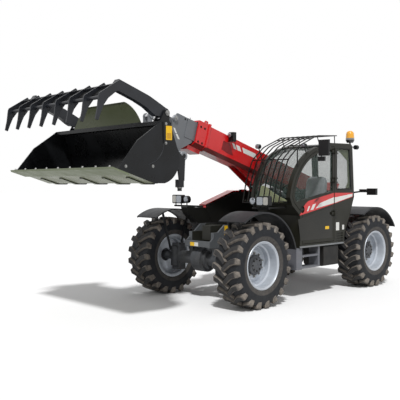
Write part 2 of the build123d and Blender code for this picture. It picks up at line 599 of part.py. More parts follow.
mouth = outline([
    (LIP_FRONT[0] + 2, LIP_FRONT[1] - LIP_DEPTH), (LIP_FRONT[0] + 2, 2700), (2700, 2700),
    (2700, EDGE[1] + floor_lift + (2700 - EDGE[0]) * floor_slope),
    (2150, EDGE[1] + floor_lift + (2150 - EDGE[0]) * floor_slope),
])
box_under = outline([(1640, 1600), (LIP_FRONT[0] + 30, 1600), (LIP_FRONT[0] + 30, LIP_FRONT[1] - LIP_DEPTH),
                     (1640, LIP_FRONT[1] - LIP_DEPTH)])
inside = slab((hollow & box_under) + mouth, -BUCKET_HALF + BUCKET_SIDE, BUCKET_HALF - BUCKET_SIDE)
hollow_low = outline([(1500, 1500), (2600, 1500), (2600, LIP_FRONT[1] - LIP_DEPTH), (1500, LIP_FRONT[1] - LIP_DEPTH)])
inside += slab(hollow & hollow_low, -BUCKET_HALF + BUCKET_SIDE, BUCKET_HALF - BUCKET_SIDE)
bucket = slab(shell_face, -BUCKET_HALF, BUCKET_HALF)
# hook plates that hang the bucket on the carriage
hook_y = CARRIAGE_HALF - CARRIAGE_T - 45
hook = plate([(HOOK_X - 55, HOOK_Z - 30), (HOOK_X - 55, HOOK_Z + 60), (HOOK_X + 60, HOOK_Z + 60), (1690, 2330),
              (1620, 1850), (HOOK_X + 40, LOCK_Z - 60), (HOOK_X - 30, LOCK_Z - 60), (HOOK_X - 30, LOCK_Z + 30),
              (HOOK_X + 60, LOCK_Z + 80), (HOOK_X + 60, HOOK_Z - 70), (HOOK_X + HOOK_R, HOOK_Z - 30)],
             hook_y, hook_y + 30)
hook -= disc(HOOK_X, HOOK_Z, HOOK_R + SEAT_GAP, hook_y - 1, hook_y + 31)
hook -= disc(HOOK_X, LOCK_Z, LOCK_R + SEAT_GAP, hook_y - 1, hook_y + 31)
mouth_half = HOOK_R + SEAT_GAP
hook -= block(HOOK_X - mouth_half, HOOK_X + mouth_half, hook_y - 1, hook_y + 31, HOOK_Z - 100, HOOK_Z)
bucket += both_sides(hook)
# grapple pivots and cylinder feet behind the back plate
pivot_in = ARM_OUT - ARM_W - 8
pivot_out = ARM_OUT + 8
lug_side = [(GRAB_X - 40, GRAB_Z), (GRAB_X + 40, GRAB_Z + 20), (LIP_BACK[0] + 20, LIP_BACK[1] - 10),
            (1655, 2250), (GRAB_X - 15, 2250)]
for y0, y1 in ((pivot_in - 18, pivot_in), (pivot_out, pivot_out + 18)):
    bucket += both_sides(plate(lug_side, y0, y1) + disc(GRAB_X, GRAB_Z, 42, y0, y1))
bucket += both_sides(disc(GRAB_X, GRAB_Z, GRAB_PIN_R, pivot_in - 26, pivot_out + 26))
foot_gap = GRAB_EYE_HALF + 4
for y0, y1 in ((grab_y - foot_gap - 14, grab_y - foot_gap), (grab_y + foot_gap, grab_y + foot_gap + 14)):
    foot = plate([(GRAB_BASE[0] - 20, GRAB_BASE[1] - 24), (GRAB_BASE[0], GRAB_BASE[1] + 24), (1595, 2030),
                  (1595, 1900)], y0, y1)
    bucket += both_sides(foot + disc(GRAB_BASE[0], GRAB_BASE[1], 32, y0, y1))
bucket += both_sides(disc(GRAB_BASE[0], GRAB_BASE[1], 14, grab_y - foot_gap - 18, grab_y + foot_gap + 18))
bucket -= inside
# wear strips under the floor and round the belly
for i in range(STRIP_COUNT):
    y = (i - (STRIP_COUNT - 1) / 2) * STRIP_PITCH
    strip = plate([(FLOOR_BACK[0] - 10, FLOOR_BACK[1] + 2), (FLOOR_BACK[0] + 10, FLOOR_BACK[1] - 14),
                   (FLOOR_MID[0] - 2, FLOOR_MID[1] - 14), (FLOOR_MID[0] + 230, FLOOR_MID[1] - 14 + 234 * 0.306),
                   (FLOOR_MID[0] + 232, FLOOR_MID[1] + 74), (FLOOR_MID[0], FLOOR_MID[1] + 2)],
                  y - STRIP_W / 2, y + STRIP_W / 2)
    bucket += strip
# rear spill guard standing on the lip
GUARD_TOP = 2717.0
guard_face = make_face([
    Line((-720, LIP_FRONT[1]), (720, LIP_FRONT[1])),
    ThreePointArc((720, LIP_FRONT[1]), (590, 2600), (400, GUARD_TOP)),
    Line((400, GUARD_TOP), (-400, GUARD_TOP)),
    ThreePointArc((-400, GUARD_TOP), (-590, 2600), (-720, LIP_FRONT[1])),
])
bucket += extrude(Plane(origin=(LIP_FRONT[0] - 35, 0, 0), x_dir=(0, 1, 0), z_dir=(1, 0, 0)) * guard_face, amount=10)
bucket += block(LIP_FRONT[0] - 35, LIP_FRONT[0] - 15, -400, 400, GUARD_TOP - 8, GUARD_TOP)
parts["bucket"] = bucket

slope = hypot(1, floor_slope)
ux, uz = 1 / slope, floor_slope / slope


def under_floor(s, d):
    """Point s along the floor from its front edge, d below its underside."""
    return (EDGE[0] + s * ux + d * uz, EDGE[1] + s * uz - d * ux)


parts["cutting_edge"] = plate([under_floor(-160, 0), under_floor(75, 0), under_floor(60, EDGE_T),
                               under_floor(-160, EDGE_T)], -BUCKET_HALF, BUCKET_HALF)

# ---------------------------------------------------------------- grapple
arm_face = outline([
    (GRAB_X - 43, 2592), (1700, 2657), (1853, 2729), (1913, 2750), (2198, 2845), (2300, 2878), (2360, 2800),
    (2300, 2742), (2158, 2696), (2053, 2660), (1913, 2600), (1858, 2565), (1809, 2533), (1757, 2508), (GRAB_X + 40, 2505),
])
arm = slab(arm_face, ARM_OUT - ARM_W, ARM_OUT) + disc(GRAB_X, GRAB_Z, 60, ARM_OUT - ARM_W, ARM_OUT)
crank_in = GRAB_EYE_HALF + 6
# the rod's eye swings between two crank plates below the arm's foot
crank_face = outline([(GRAB_X - 40, GRAB_Z - 30), (GRAB_EYE[0] - 24, GRAB_EYE[1] - 18), (GRAB_EYE[0] + 30, GRAB_EYE[1]),
                      (GRAB_X + 120, GRAB_Z + 20), (GRAB_X, GRAB_Z + 40)])
arm += slab(crank_face, ARM_OUT - ARM_W, ARM_OUT) + disc(GRAB_EYE[0], GRAB_EYE[1], 30, ARM_OUT - ARM_W, ARM_OUT)
arm -= block(GRAB_X - 120, GRAB_EYE[0] + GRAB_EYE_R + 32, grab_y - crank_in, grab_y + crank_in, 2300,
             GRAB_EYE[1] + GRAB_EYE_R + 6)
arm -= disc(GRAB_X, GRAB_Z, GRAB_PIN_R + PIN_GAP, ARM_OUT - ARM_W - 1, ARM_OUT + 1)
grapple = both_sides(arm)
tine_face = outline([
    (2290, 2795), (2345, 2856), (2612, 2690), (2624, 2660), (2642, 2520), (2668, 2404), (2632, 2392), (2596, 2482),
    (2560, 2562), (2498, 2642), (2385, 2728), (2310, 2755),
])
tine_span = TINE_PITCH * (TINE_COUNT - 1)
for i in range(TINE_COUNT):
    y = i * TINE_PITCH - tine_span / 2
    grapple += slab(tine_face, y - TINE_T / 2, y + TINE_T / 2)
grapple += plate([(2300, 2795), (2330, 2835), (2440, 2800), (2420, 2765)], -tine_span / 2, tine_span / 2)
grapple += disc(2560, 2652, 22, -tine_span / 2, tine_span / 2)
parts["grapple"] = grapple

# ---------------------------------------------------------------- cab
REAR_EDGE = [(-2360.0, 1500.0), (-2240.0, 1220.0), (-2095.0, 940.0), (-2070.0, BODY_LOW)]
CAB_FOOT = (-930.0, BODY_LOW)
CAB_STEP = (-930.0, 1240.0)
CAB_SILL = (-745.0, 1395.0)
GLASS_LOW = (-690.0, 1510.0)
GLASS_MID = (-905.0, 1985.0)
GLASS_TOP = (-1370.0, 2270.0)
ROOF_FRONT = (-1640.0, 2340.0)
ROOF_REAR = (-2250.0, 2350.0)
ROOF_END = (-2300.0, 2315.0)
cab_face = make_face([
    Line(CAB_FOOT, CAB_STEP), Line(CAB_STEP, CAB_SILL), Line(CAB_SILL, GLASS_LOW),
    ThreePointArc(GLASS_LOW, GLASS_MID, GLASS_TOP), Line(GLASS_TOP, ROOF_FRONT), Line(ROOF_FRONT, ROOF_REAR),
    Line(ROOF_REAR, ROOF_END), Line(ROOF_END, REAR_EDGE[0]), Line(REAR_EDGE[0], REAR_EDGE[1]),
    Line(REAR_EDGE[1], REAR_EDGE[2]), Line(REAR_EDGE[2], REAR_EDGE[3]), Line(REAR_EDGE[3], CAB_FOOT),
])
cab_hollow = inset(cab_face, CAB_WALL)
door_zone = outline([(-600, DOOR_LOW), (-600, 2400), (DOOR_REAR, 2400), (DOOR_REAR, DOOR_LOW)])
door_hole = inset(cab_face, DOOR_INSET) & door_zone
door_shape = inset(door_hole, DOOR_GAP)
pane_zone = outline([(-600, 1405), (-600, 2400), (-1820, 2400), (-1820, 1610)])
door_pane = inset(door_shape, DOOR_FRAME) & pane_zone
quarter = outline([(-1860, 1620), (-1860, 2270), (-2225, 2270), (-2285, 1620)])
right_pane = inset(cab_face, DOOR_INSET + 30) & outline(
    [(-600, 1405), (-600, 2400), (-2290, 2400), (-2290, 1640), (-1820, 1610)])
light_in = CAB_IN + CAB_WALL + WINDOW_LIP
light_out = CAB_OUT - CAB_WALL - WINDOW_LIP
cab = slab(cab_face, CAB_IN, CAB_OUT) - slab(cab_hollow, CAB_IN + CAB_WALL, CAB_OUT - CAB_WALL)
cab -= slab(door_hole, CAB_OUT - CAB_WALL - 1, CAB_OUT + 1)
cab -= slab(quarter, CAB_OUT - CAB_WALL - 1, CAB_OUT + 1)
cab -= slab(right_pane, CAB_IN - 1, CAB_IN + CAB_WALL + 1)
# window openings through the bent shell: X from, X to, Z from, Z to
LIGHTS = [(-1440, -600, 1430, 2300), (-2180, -1520, 2270, 2400), (-2420, -2240, 1600, 2240)]
skin = inset(cab_face, GLASS_IN) - inset(cab_face, GLASS_IN + GLASS_T)
skin = slab(skin, light_in + SEAT_GAP, light_out - SEAT_GAP)
glass = []
for x0, x1, z0, z1 in LIGHTS:
    cab -= block(x0, x1, light_in, light_out, z0, z1)
    glass.append(skin & block(x0 + SEAT_GAP, x1 - SEAT_GAP, light_in, light_out, z0 + SEAT_GAP, z1 - SEAT_GAP))
glass.append(slab(inset(quarter, SEAT_GAP), CAB_OUT - GLASS_IN - GLASS_T, CAB_OUT - GLASS_IN))
glass.append(slab(inset(right_pane, SEAT_GAP), CAB_IN + GLASS_IN, CAB_IN + GLASS_IN + GLASS_T))
parts["cab_glass"] = Compound(children=[s for g in glass for s in g.solids()])
cab_skin = slab(offset(cab_face, amount=SEAT_GAP, kind=Kind.INTERSECTION), CAB_IN - SEAT_GAP, CAB_OUT + SEAT_GAP)

door = slab(door_shape, CAB_OUT - CAB_WALL, CAB_OUT) - slab(door_pane, CAB_OUT - CAB_WALL - 1, CAB_OUT + 1)
HINGE_X = DOOR_REAR + 20
HINGE_Y = CAB_OUT + 24
HINGE_R = 10.0
HINGES = [1250.0, 1765.0, 2215.0]
for z in HINGES:
    door += block(HINGE_X, HINGE_X + 70, CAB_OUT - 5, HINGE_Y, z - 20, z + 20)
    door += Pos(HINGE_X, HINGE_Y, z) * Cylinder(HINGE_R + 7, 40)
    door -= Pos(HINGE_X, HINGE_Y, z) * Cylinder(HINGE_R + PIN_GAP, 42)
handle = Pos(-985, CAB_OUT, 1330)
door -= handle * Rot(90, 0, 0) * Cylinder(48, 30)
door += handle * Pos(0, -8, 0) * Box(80, 14, 22)
parts["door"] = door
parts["door_glass"] = slab(inset(door_pane, SEAT_GAP), CAB_OUT - GLASS_IN - GLASS_T, CAB_OUT - GLASS_IN)
# hinge pins with their lugs stand on the post behind the door
for z in HINGES:
    cab += Pos(HINGE_X, HINGE_Y, z) * Cylinder(HINGE_R, 84)
    for end in (-1, 1):
        zc = z + end * 31.5
        cab += block(HINGE_X - 75, HINGE_X - 30, CAB_OUT - 5, HINGE_Y + 8, zc - 10, zc + 10)
        cab += block(HINGE_X - 75, HINGE_X, CAB_OUT + 7, HINGE_Y + 8, zc - 10, zc + 10)
        cab += Pos(HINGE_X, HINGE_Y, zc) * Cylinder(HINGE_R + 5, 20)
# cooling slots low in the side behind the door
for i in range(SLOT_COUNT):
    z = SLOT_LOW + i * SLOT_PITCH
    cab -= block(-2035, -1870, CAB_OUT - 12, CAB_OUT + 1, z, z + SLOT_H)
parts["cab_frame"] = cab

# guard bars over windscreen and roof: X, Z of the bar's middle line
GUARD_PATH = [(-485.0, 1425.0), (-560.0, 1740.0), (-700.0, 2065.0), (-960.0, 2270.0), (-1400.0, 2440.0), (-1920.0, 2465.0)]
path = FilletPolyline(*GUARD_PATH, radius=280)
guard_line = side_plane(0) * path
strip_face = Plane(origin=guard_line @ 0, z_dir=guard_line % 0) * Rectangle(GUARD_BAR, GUARD_BAR)
strip = sweep(strip_face, path=guard_line)
guard_y = [GUARD_IN + i * (GUARD_OUT - GUARD_IN) / (GUARD_COUNT - 1) for i in range(GUARD_COUNT)]
guard = Compound(children=[Pos(0, y, 0) * strip for y in guard_y])
# cross bars at these shares of the path
for share in (0.004, 0.34, 0.67, 0.996):
    p = guard_line @ share
    guard += block(p.X - 7, p.X + 7, guard_y[0], guard_y[-1], p.Z - 7, p.Z + 7)
# stand-offs: shares of the path, foot X, foot Z
for share, x, z in [(0.02, -750.0, 1440.0), (0.74, -1480.0, 2280.0), (0.97, -1870.0, 2320.0)]:
    p = guard_line @ share
    for y in (guard_y[0], guard_y[-1]):
        guard += bar((x, y, z), (p.X, y, p.Z), GUARD_BAR / 2)
guard -= cab_skin
parts["windscreen_guard"] = guard

seat_x = -1620
cab_floor = BODY_LOW + CAB_WALL + SEAT_GAP
seat = block(seat_x - 190, seat_x + 190, 470, 850, cab_floor, 1150)
seat += block(seat_x - 240, seat_x + 260, 430, 890, 1150, 1270)
seat += plate([(seat_x - 240, 1270), (seat_x - 110, 1270), (seat_x - 190, 1860), (seat_x - 290, 1860)], 450, 870)
parts["seat"] = seat

console = block(-1080, -980, CAB_IN + CAB_WALL + 5, CAB_OUT - CAB_WALL - 10, cab_floor, 1220)
dash = [(330, 1200), (330, 1640), (430, 1655), (640, 1540), (800, 1450), (940, 1440), (940, 1200)]
console += cross_plate(dash, -1080, -980)
console += plate([(-985, 1420), (-985, 1640), (-840, 1600), (-830, 1420)], 330, 480)
console += bar((-1070, 660, 1400), (-1230, 660, 1560), 25)
wheel = Plane(origin=(-1230, 660, 1560), z_dir=(-160, 0, 160)) * Torus(175, 14)
spoke = Plane(origin=(-1230, 660, 1560), z_dir=(-160, 0, 160)) * (Box(340, 30, 10) + Box(30, 340, 10) + Cylinder(40, 24))
console += wheel + spoke
parts["console"] = console

BEACON_X = -2285.0
BEACON_Y = 985.0
BEACON_Z = 2368.0
beacon_side = [(0, -85), (14, -85), (14, 0), (48, 0), (66, 30), (70, 45), (62, 150), (52, 176), (30, 191), (0, 196)]
beacon = revolve(Plane.XZ * outline(beacon_side), axis=Axis.Z)
beacon = Pos(BEACON_X, BEACON_Y, BEACON_Z) * beacon
parts["beacon"] = beacon - cab_skin

# ---------------------------------------------------------------- steps and tank under the cab
under_cab = BODY_LOW - SEAT_GAP
step = block(-1010, -870, 780, 1000, 440, under_cab)
step += block(-1450, -1405, 830, 1000, 450, under_cab)
for z in (450, 620):
    step += block(-1450, -1005, 830, 1000, z, z + 28)
parts["cab_step"] = step

tank = block(-1940, -1550, 620, 1000, 440, under_cab)
tank = fillet(tank.edges().filter_by(Axis.X), 35)
parts["fuel_tank"] = tank

# ---------------------------------------------------------------- engine side
NOSE_FRONT = -310.0
NOSE_LOW = 1362.0
NOSE_IN = 470.0
low_face = outline([(CAB_FOOT[0], BODY_LOW), (CAB_FOOT[0], HOUSING_TOP), (-2231, HOUSING_TOP), REAR_EDGE[2], REAR_EDGE[3]])
housing = slab(low_face, HOUSING_OUT, HOUSING_IN)
housing -= slab(offset(low_face, amount=-HOUSING_T, kind=Kind.INTERSECTION), HOUSING_OUT + HOUSING_T, HOUSING_IN - HOUSING_T)
housing -= block(-2190, CAB_FOOT[0] - HOUSING_T, HOUSING_OUT + HOUSING_T, HOUSING_IN - HOUSING_T, HOUSING_TOP - 40, HOUSING_TOP + 1)
housing += plate([(CAB_FOOT[0], HOUSING_TOP - 60), (-800, CONSOLE_LOW), (-424, CONSOLE_LOW), (NOSE_FRONT, 1300),
                  (NOSE_FRONT, 1372), (-950, 1575), (-1700, 1575), (-2340, 1500), REAR_EDGE[1], (-2231, HOUSING_TOP)],
                 HOUSING_IN - HOUSING_T, HOUSING_IN)
# closed console ahead of the hood, over the right front wheel's inner side
console_box = plate([(CONSOLE_FRONT, 1368), (-185, CONSOLE_TOP), (-290, CONSOLE_TOP), (-440, 1160), (-424, CONSOLE_LOW),
                     (-122, CONSOLE_LOW), (CONSOLE_FRONT - 50, 1255)], CONSOLE_OUT, HOUSING_IN - 5)
console_box = fillet(console_box.edges().filter_by(Axis.Y), 12)
# its rear outer corner is cut away for the fender at full lock
console_box -= Pos(0, 0, CONSOLE_LOW - 10) * extrude(outline(
    [(-446, CONSOLE_OUT - 6), (-325, CONSOLE_OUT - 6), (-360, -394), (-446, -394)]), 300)
housing += console_box
parts["engine_housing"] = housing

hood_top = [(NOSE_FRONT, 1392.0), (-950.0, 1600.0), (-1700.0, 1600.0), (-2345.0, 1520.0), (-2360.0, 1500.0)]
hood_low = HOUSING_TOP + HOOD_GAP
hood_in = HOUSING_IN - HOUSING_T - HOOD_GAP
main_face = outline([(CAB_FOOT[0], hood_low), (CAB_FOOT[0], 1593)] + hood_top[1:] + [REAR_EDGE[1], (-2233, hood_low)])
nose_face = outline([(CAB_FOOT[0] - 30, NOSE_LOW), (NOSE_FRONT, NOSE_LOW)] + hood_top[:2] + [(CAB_FOOT[0] - 30, 1600)])
hood = slab(main_face, HOUSING_OUT, hood_in) + slab(nose_face, -NOSE_IN, hood_in)
room = slab(offset(main_face, amount=-HOOD_T, kind=Kind.INTERSECTION), HOUSING_OUT + HOOD_T, hood_in + 1)
room += block(-2200, CAB_FOOT[0] - HOOD_T, HOUSING_OUT + HOOD_T, hood_in + 1, hood_low - 1, hood_low + 60)
room += slab(offset(nose_face, amount=-HOOD_T / 2, kind=Kind.INTERSECTION), -NOSE_IN + HOOD_T, hood_in + 1)
# the outer front corner is cut off by one sloping facet: three points on it
FACET = [Vector(-950, -NOSE_IN, 1600), Vector(CAB_FOOT[0], HOUSING_OUT, 1389), Vector(-1570, HOUSING_OUT, 1600)]
facet = Plane(origin=FACET[0], x_dir=FACET[2] - FACET[0], z_dir=(FACET[2] - FACET[0]).cross(FACET[1] - FACET[0]))
hood -= facet * Pos(0, 0, 400) * Box(3000, 3000, 800)
room -= facet * Pos(0, 0, 400 - HOOD_T) * Box(3000, 3000, 800)
hood -= room
HOOD_HINGE_Y = HOUSING_IN - 12
HOOD_HINGE_Z = 1608.0
hinge_part = []
for x in (-1150, -1950):
    top = 1600 if x > -1700 else 1600 - (1700 + 1950 - 3650 - (-1950 + 1700)) * 0.124
    lug = block(x - 40, x + 40, HOOD_HINGE_Y - 45, HOOD_HINGE_Y - 12, HOOD_HINGE_Z - 40, HOOD_HINGE_Z + 8)
    lug += block(x - 40, x + 40, HOOD_HINGE_Y - 13, HOOD_HINGE_Y, HOOD_HINGE_Z - 3, HOOD_HINGE_Z + 8)
    lug += Pos(x, HOOD_HINGE_Y, HOOD_HINGE_Z) * Rot(0, 90, 0) * Cylinder(11, 80)
    lug -= Pos(x, HOOD_HINGE_Y, HOOD_HINGE_Z) * Rot(0, 90, 0) * Cylinder(6.3, 82)
    hood += lug
    pin = Pos(x, HOOD_HINGE_Y, HOOD_HINGE_Z) * Rot(0, 90, 0) * Cylinder(6, 170)
    for end in (-1, 1):
        xc = x + end * 63
        base = 1574.0 if x > -1700 else 1574.0 - (abs(xc) - 1700) * 75 / 640
        pin += block(xc - 18, xc + 18, HOOD_HINGE_Y - 8, HOOD_HINGE_Y + 10, base - 4, HOOD_HINGE_Z + 8)
    hinge_part.append(pin)
parts["hood"] = hood
for pin in hinge_part:
    parts["engine_housing"] += pin

parts["engine"] = block(-2030, -1080, -960, -420, BODY_LOW + HOUSING_T + SEAT_GAP, 1330)

# ---------------------------------------------------------------- lamps, mirrors, rear lights
LAMP_BACK = -300.0
LAMP_FRONT = -225.0
LAMP_ARM_R = 14.0
lamp_x = (LAMP_BACK + LAMP_FRONT) / 2
arm_z = CONSOLE_TOP + SEAT_GAP + LAMP_ARM_R
lamp = block(LAMP_BACK, LAMP_FRONT, 780, 1010, 1395, 1535)
lamp = fillet(lamp.edges().filter_by(Axis.X), 25)
lamp += Pos(lamp_x - 5, 700, 1462) * Rot(0, 90, 0) * Cylinder(58, 60)
# stems: Y, Z they reach
for y, z in [(700, 1430), (830, 1420), (960, 1420)]:
    lamp += bar((lamp_x, y, arm_z), (lamp_x, y, z), 9)
left_lamp = lamp + bar((lamp_x, 680, arm_z), (lamp_x, 990, arm_z), LAMP_ARM_R)
left_lamp += bar((lamp_x, 860, arm_z), (-900, 860, arm_z), LAMP_ARM_R - 2)
right_lamp = mirror(lamp, about=Plane.XZ) + bar((lamp_x, -340, arm_z), (lamp_x, -990, arm_z), LAMP_ARM_R)
parts["headlights"] = (left_lamp - cab_skin) + right_lamp

mirror_arm = bar((-885, 1000, 1940), (-885, 1000, 2246), 9) + bar((-885, 1000, 2238), (-1000, 1340, 2250), 9)
mirror_arm += bar((-895, 1000, 1960), (-1000, 1000, 1960), 9)
mirror_arm += block(-1025, -985, 1300, 1470, 2110, 2340) + block(-1020, -985, 1290, 1400, 2035, 2100)
mirror_arm += bar((-1003, 1345, 2090), (-1003, 1345, 2120), 8)
parts["mirror"] = mirror_arm - cab_skin

# work lamps: X, Y, Z of each, foot of its stem X, Y, Z
WORK_LAMPS = [(-1144, 926, 2278, -1170, 968, 2100), (-781, 339, 2276, -930, 308, 2010), (-2450, 995, 2303, -2270, 995, 2303)]
lamps = []
for x, y, z, foot_x, foot_y, foot_z in WORK_LAMPS:
    one = Pos(x, y, z) * Rot(0, 90, 0) * Cylinder(36, 60) + bar((x, y, z), (foot_x, foot_y, foot_z), 8)
    lamps.append(one - cab_skin)
parts["work_lamps"] = Compound(children=[max(one.solids(), key=lambda solid: solid.volume) for one in lamps])

boom_side = BOOM_HALF_W + SEAT_GAP
lamp_box = block(-390, -285, boom_side, BOOM_HALF_W + 70, 2335, 2350) + block(-380, -310, boom_side, 255, 2349, 2475)
lamp_box += Pos(-300, 212, 2430) * Rot(0, 90, 0) * Cylinder(37, 50)
parts["boom_lamp"] = lamp_box

horn_face = RAIL_IN + HORN_T + SEAT_GAP
rear_arm = block(-3155, -3105, horn_face, horn_face + 30, 1460, 1550)
rear_arm += bar((-3130, horn_face + 18, 1520), (-3290, 560, 1575), 14)
rear_arm += block(-3320, -3290, 530, 800, 1560, 1615)
rear_arm += Pos(-3290, 760, 1572) * Rot(0, 90, 0) * Cylinder(50, 60) + block(-3320, -3260, 700, 877, 1515, 1630)
parts["rear_lights"] = both_sides(rear_arm)

# ---------------------------------------------------------------- export
whole = Compound(children=[s for p in parts.values() for s in p.solids()]).bounding_box()
ORIGIN = ((whole.min.X + whole.max.X) / 2, (whole.min.Y + whole.max.Y) / 2, whole.min.Z)
for name, shape in parts.items():
    moved = Pos(-ORIGIN[0], -ORIGIN[1], -ORIGIN[2]) * shape
    export_step(moved, "parts/" + name + ".step")
    print(name, len(moved.solids()), round(moved.volume / 1e6, 2))
print("origin in design axes", [round(v, 3) for v in ORIGIN])
print("size", [round(v, 1) for v in whole.size])
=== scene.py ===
import json
import math
import bmesh
import bpy
import numpy as np
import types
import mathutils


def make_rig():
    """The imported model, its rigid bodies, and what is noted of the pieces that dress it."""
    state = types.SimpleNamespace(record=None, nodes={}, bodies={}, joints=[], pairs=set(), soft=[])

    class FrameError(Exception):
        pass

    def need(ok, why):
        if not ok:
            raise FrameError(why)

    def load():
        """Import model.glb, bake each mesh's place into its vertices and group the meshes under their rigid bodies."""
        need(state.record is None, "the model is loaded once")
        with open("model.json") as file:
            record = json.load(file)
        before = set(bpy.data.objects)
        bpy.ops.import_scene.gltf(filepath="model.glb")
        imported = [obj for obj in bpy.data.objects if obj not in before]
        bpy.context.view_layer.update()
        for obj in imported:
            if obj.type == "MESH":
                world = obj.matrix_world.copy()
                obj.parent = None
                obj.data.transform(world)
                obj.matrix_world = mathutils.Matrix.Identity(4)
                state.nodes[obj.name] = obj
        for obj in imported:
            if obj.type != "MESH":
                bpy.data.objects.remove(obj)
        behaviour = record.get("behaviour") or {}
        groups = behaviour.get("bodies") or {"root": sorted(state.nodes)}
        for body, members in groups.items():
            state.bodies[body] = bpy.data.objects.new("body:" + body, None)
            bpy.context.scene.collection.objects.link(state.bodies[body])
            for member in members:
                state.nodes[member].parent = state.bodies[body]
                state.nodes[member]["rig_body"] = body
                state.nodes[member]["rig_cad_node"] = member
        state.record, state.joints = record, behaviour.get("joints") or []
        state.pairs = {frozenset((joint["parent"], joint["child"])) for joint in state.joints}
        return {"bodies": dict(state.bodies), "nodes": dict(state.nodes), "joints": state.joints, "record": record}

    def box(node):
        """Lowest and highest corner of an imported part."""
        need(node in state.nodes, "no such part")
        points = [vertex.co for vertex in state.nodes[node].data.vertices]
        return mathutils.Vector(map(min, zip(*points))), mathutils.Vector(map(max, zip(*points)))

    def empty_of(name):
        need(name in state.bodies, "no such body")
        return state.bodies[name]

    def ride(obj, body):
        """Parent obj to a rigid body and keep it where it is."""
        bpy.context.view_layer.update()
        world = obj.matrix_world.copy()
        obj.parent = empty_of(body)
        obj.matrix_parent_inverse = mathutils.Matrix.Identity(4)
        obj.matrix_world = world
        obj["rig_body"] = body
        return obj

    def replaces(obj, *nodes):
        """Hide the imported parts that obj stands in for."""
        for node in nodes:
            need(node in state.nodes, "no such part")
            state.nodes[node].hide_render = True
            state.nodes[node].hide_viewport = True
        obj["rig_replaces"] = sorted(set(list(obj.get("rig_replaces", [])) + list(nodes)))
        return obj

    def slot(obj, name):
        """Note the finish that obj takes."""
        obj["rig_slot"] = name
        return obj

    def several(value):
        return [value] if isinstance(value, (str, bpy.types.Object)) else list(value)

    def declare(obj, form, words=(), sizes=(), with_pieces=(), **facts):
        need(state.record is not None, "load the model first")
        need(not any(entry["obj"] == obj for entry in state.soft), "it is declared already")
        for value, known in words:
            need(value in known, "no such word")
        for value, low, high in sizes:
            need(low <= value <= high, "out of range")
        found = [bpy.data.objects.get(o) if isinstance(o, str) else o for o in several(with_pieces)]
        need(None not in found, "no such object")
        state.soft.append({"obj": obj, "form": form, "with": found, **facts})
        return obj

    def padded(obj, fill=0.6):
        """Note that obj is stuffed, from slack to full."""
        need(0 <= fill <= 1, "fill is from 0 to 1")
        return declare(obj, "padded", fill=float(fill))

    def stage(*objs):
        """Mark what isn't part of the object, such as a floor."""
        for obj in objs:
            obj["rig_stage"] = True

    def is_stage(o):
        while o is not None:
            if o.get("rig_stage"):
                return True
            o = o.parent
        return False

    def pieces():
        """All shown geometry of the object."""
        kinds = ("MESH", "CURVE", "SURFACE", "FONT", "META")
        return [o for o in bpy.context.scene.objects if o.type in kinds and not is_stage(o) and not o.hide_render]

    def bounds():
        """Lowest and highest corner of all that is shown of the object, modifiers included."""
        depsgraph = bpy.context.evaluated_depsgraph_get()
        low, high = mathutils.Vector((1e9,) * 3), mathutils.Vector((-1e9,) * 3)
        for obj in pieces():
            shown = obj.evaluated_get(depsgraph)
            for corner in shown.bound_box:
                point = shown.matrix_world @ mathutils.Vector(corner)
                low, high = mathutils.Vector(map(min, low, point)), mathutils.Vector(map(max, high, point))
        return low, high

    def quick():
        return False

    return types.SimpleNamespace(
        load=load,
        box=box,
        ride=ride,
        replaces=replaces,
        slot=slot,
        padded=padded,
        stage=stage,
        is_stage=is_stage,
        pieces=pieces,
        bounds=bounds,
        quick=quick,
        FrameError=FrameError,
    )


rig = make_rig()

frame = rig.load()
low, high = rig.bounds()
with open("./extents.json", "w") as f:
    json.dump({"cad": [list(low), list(high)]}, f)

# ---------------------------------------------------------------- tyres
# Four farm-pattern tyres: moulded black rubber on a 24 inch rim, two rows of twenty bent lugs
# that point down at the front, their flanks a lighter dusty grey: part dust, part a painted highlight.
left_tyre, right_tyre = np.array(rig.box("front_left_tyre")), np.array(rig.box("front_right_tyre"))
# the ground point midway between the front wheels; every size in this file is measured from it
HOME = np.array([left_tyre[:, 0].mean(), (left_tyre[1, 1] + right_tyre[0, 1]) / 2, 0.0])
CORNERS = ("front_left", "front_right", "rear_left", "rear_right")
SIDES = ((-1, "right"), (1, "left"))
LUGS = 20                 # in each of the two rows
TREAD_R = 0.552
LUG_R = 0.5885            # where the lugs' length along the tread is measured


def tint(red, green, blue):
    """Screen colour 0-255 as linear light: ((c / 255 + 0.055) / 1.055) to the power 2.4."""
    c = np.array([red, green, blue]) / 255
    return tuple(float(v) for v in np.where(c <= 0.04045, c / 12.92, ((c + 0.055) / 1.055) ** 2.4))


def shader_group(name, inputs, outputs):
    """Empty shader group with named sockets, and its input and output nodes."""
    group = bpy.data.node_groups.new(name, "ShaderNodeTree")
    for label, kind, value in inputs:
        socket = group.interface.new_socket(label, in_out="INPUT", socket_type="NodeSocket" + kind)
        socket.default_value = (*value, 1) if kind == "Color" else value
    for label, kind in outputs:
        group.interface.new_socket(label, in_out="OUTPUT", socket_type="NodeSocket" + kind)
    return group, group.nodes.new("NodeGroupInput"), group.nodes.new("NodeGroupOutput")


def node(tree, kind, links=(), **values):
    """Shader node: values set properties or input sockets (by number after an underscore), links join sockets."""
    n = tree.nodes.new("ShaderNode" + kind)
    for key, value in values.items():
        if key[0] == "_":
            n.inputs[int(key[1:])].default_value = value
        else:
            setattr(n, key, value)
    for source, target in links:
        tree.links.new(source, n.inputs[target])
    return n


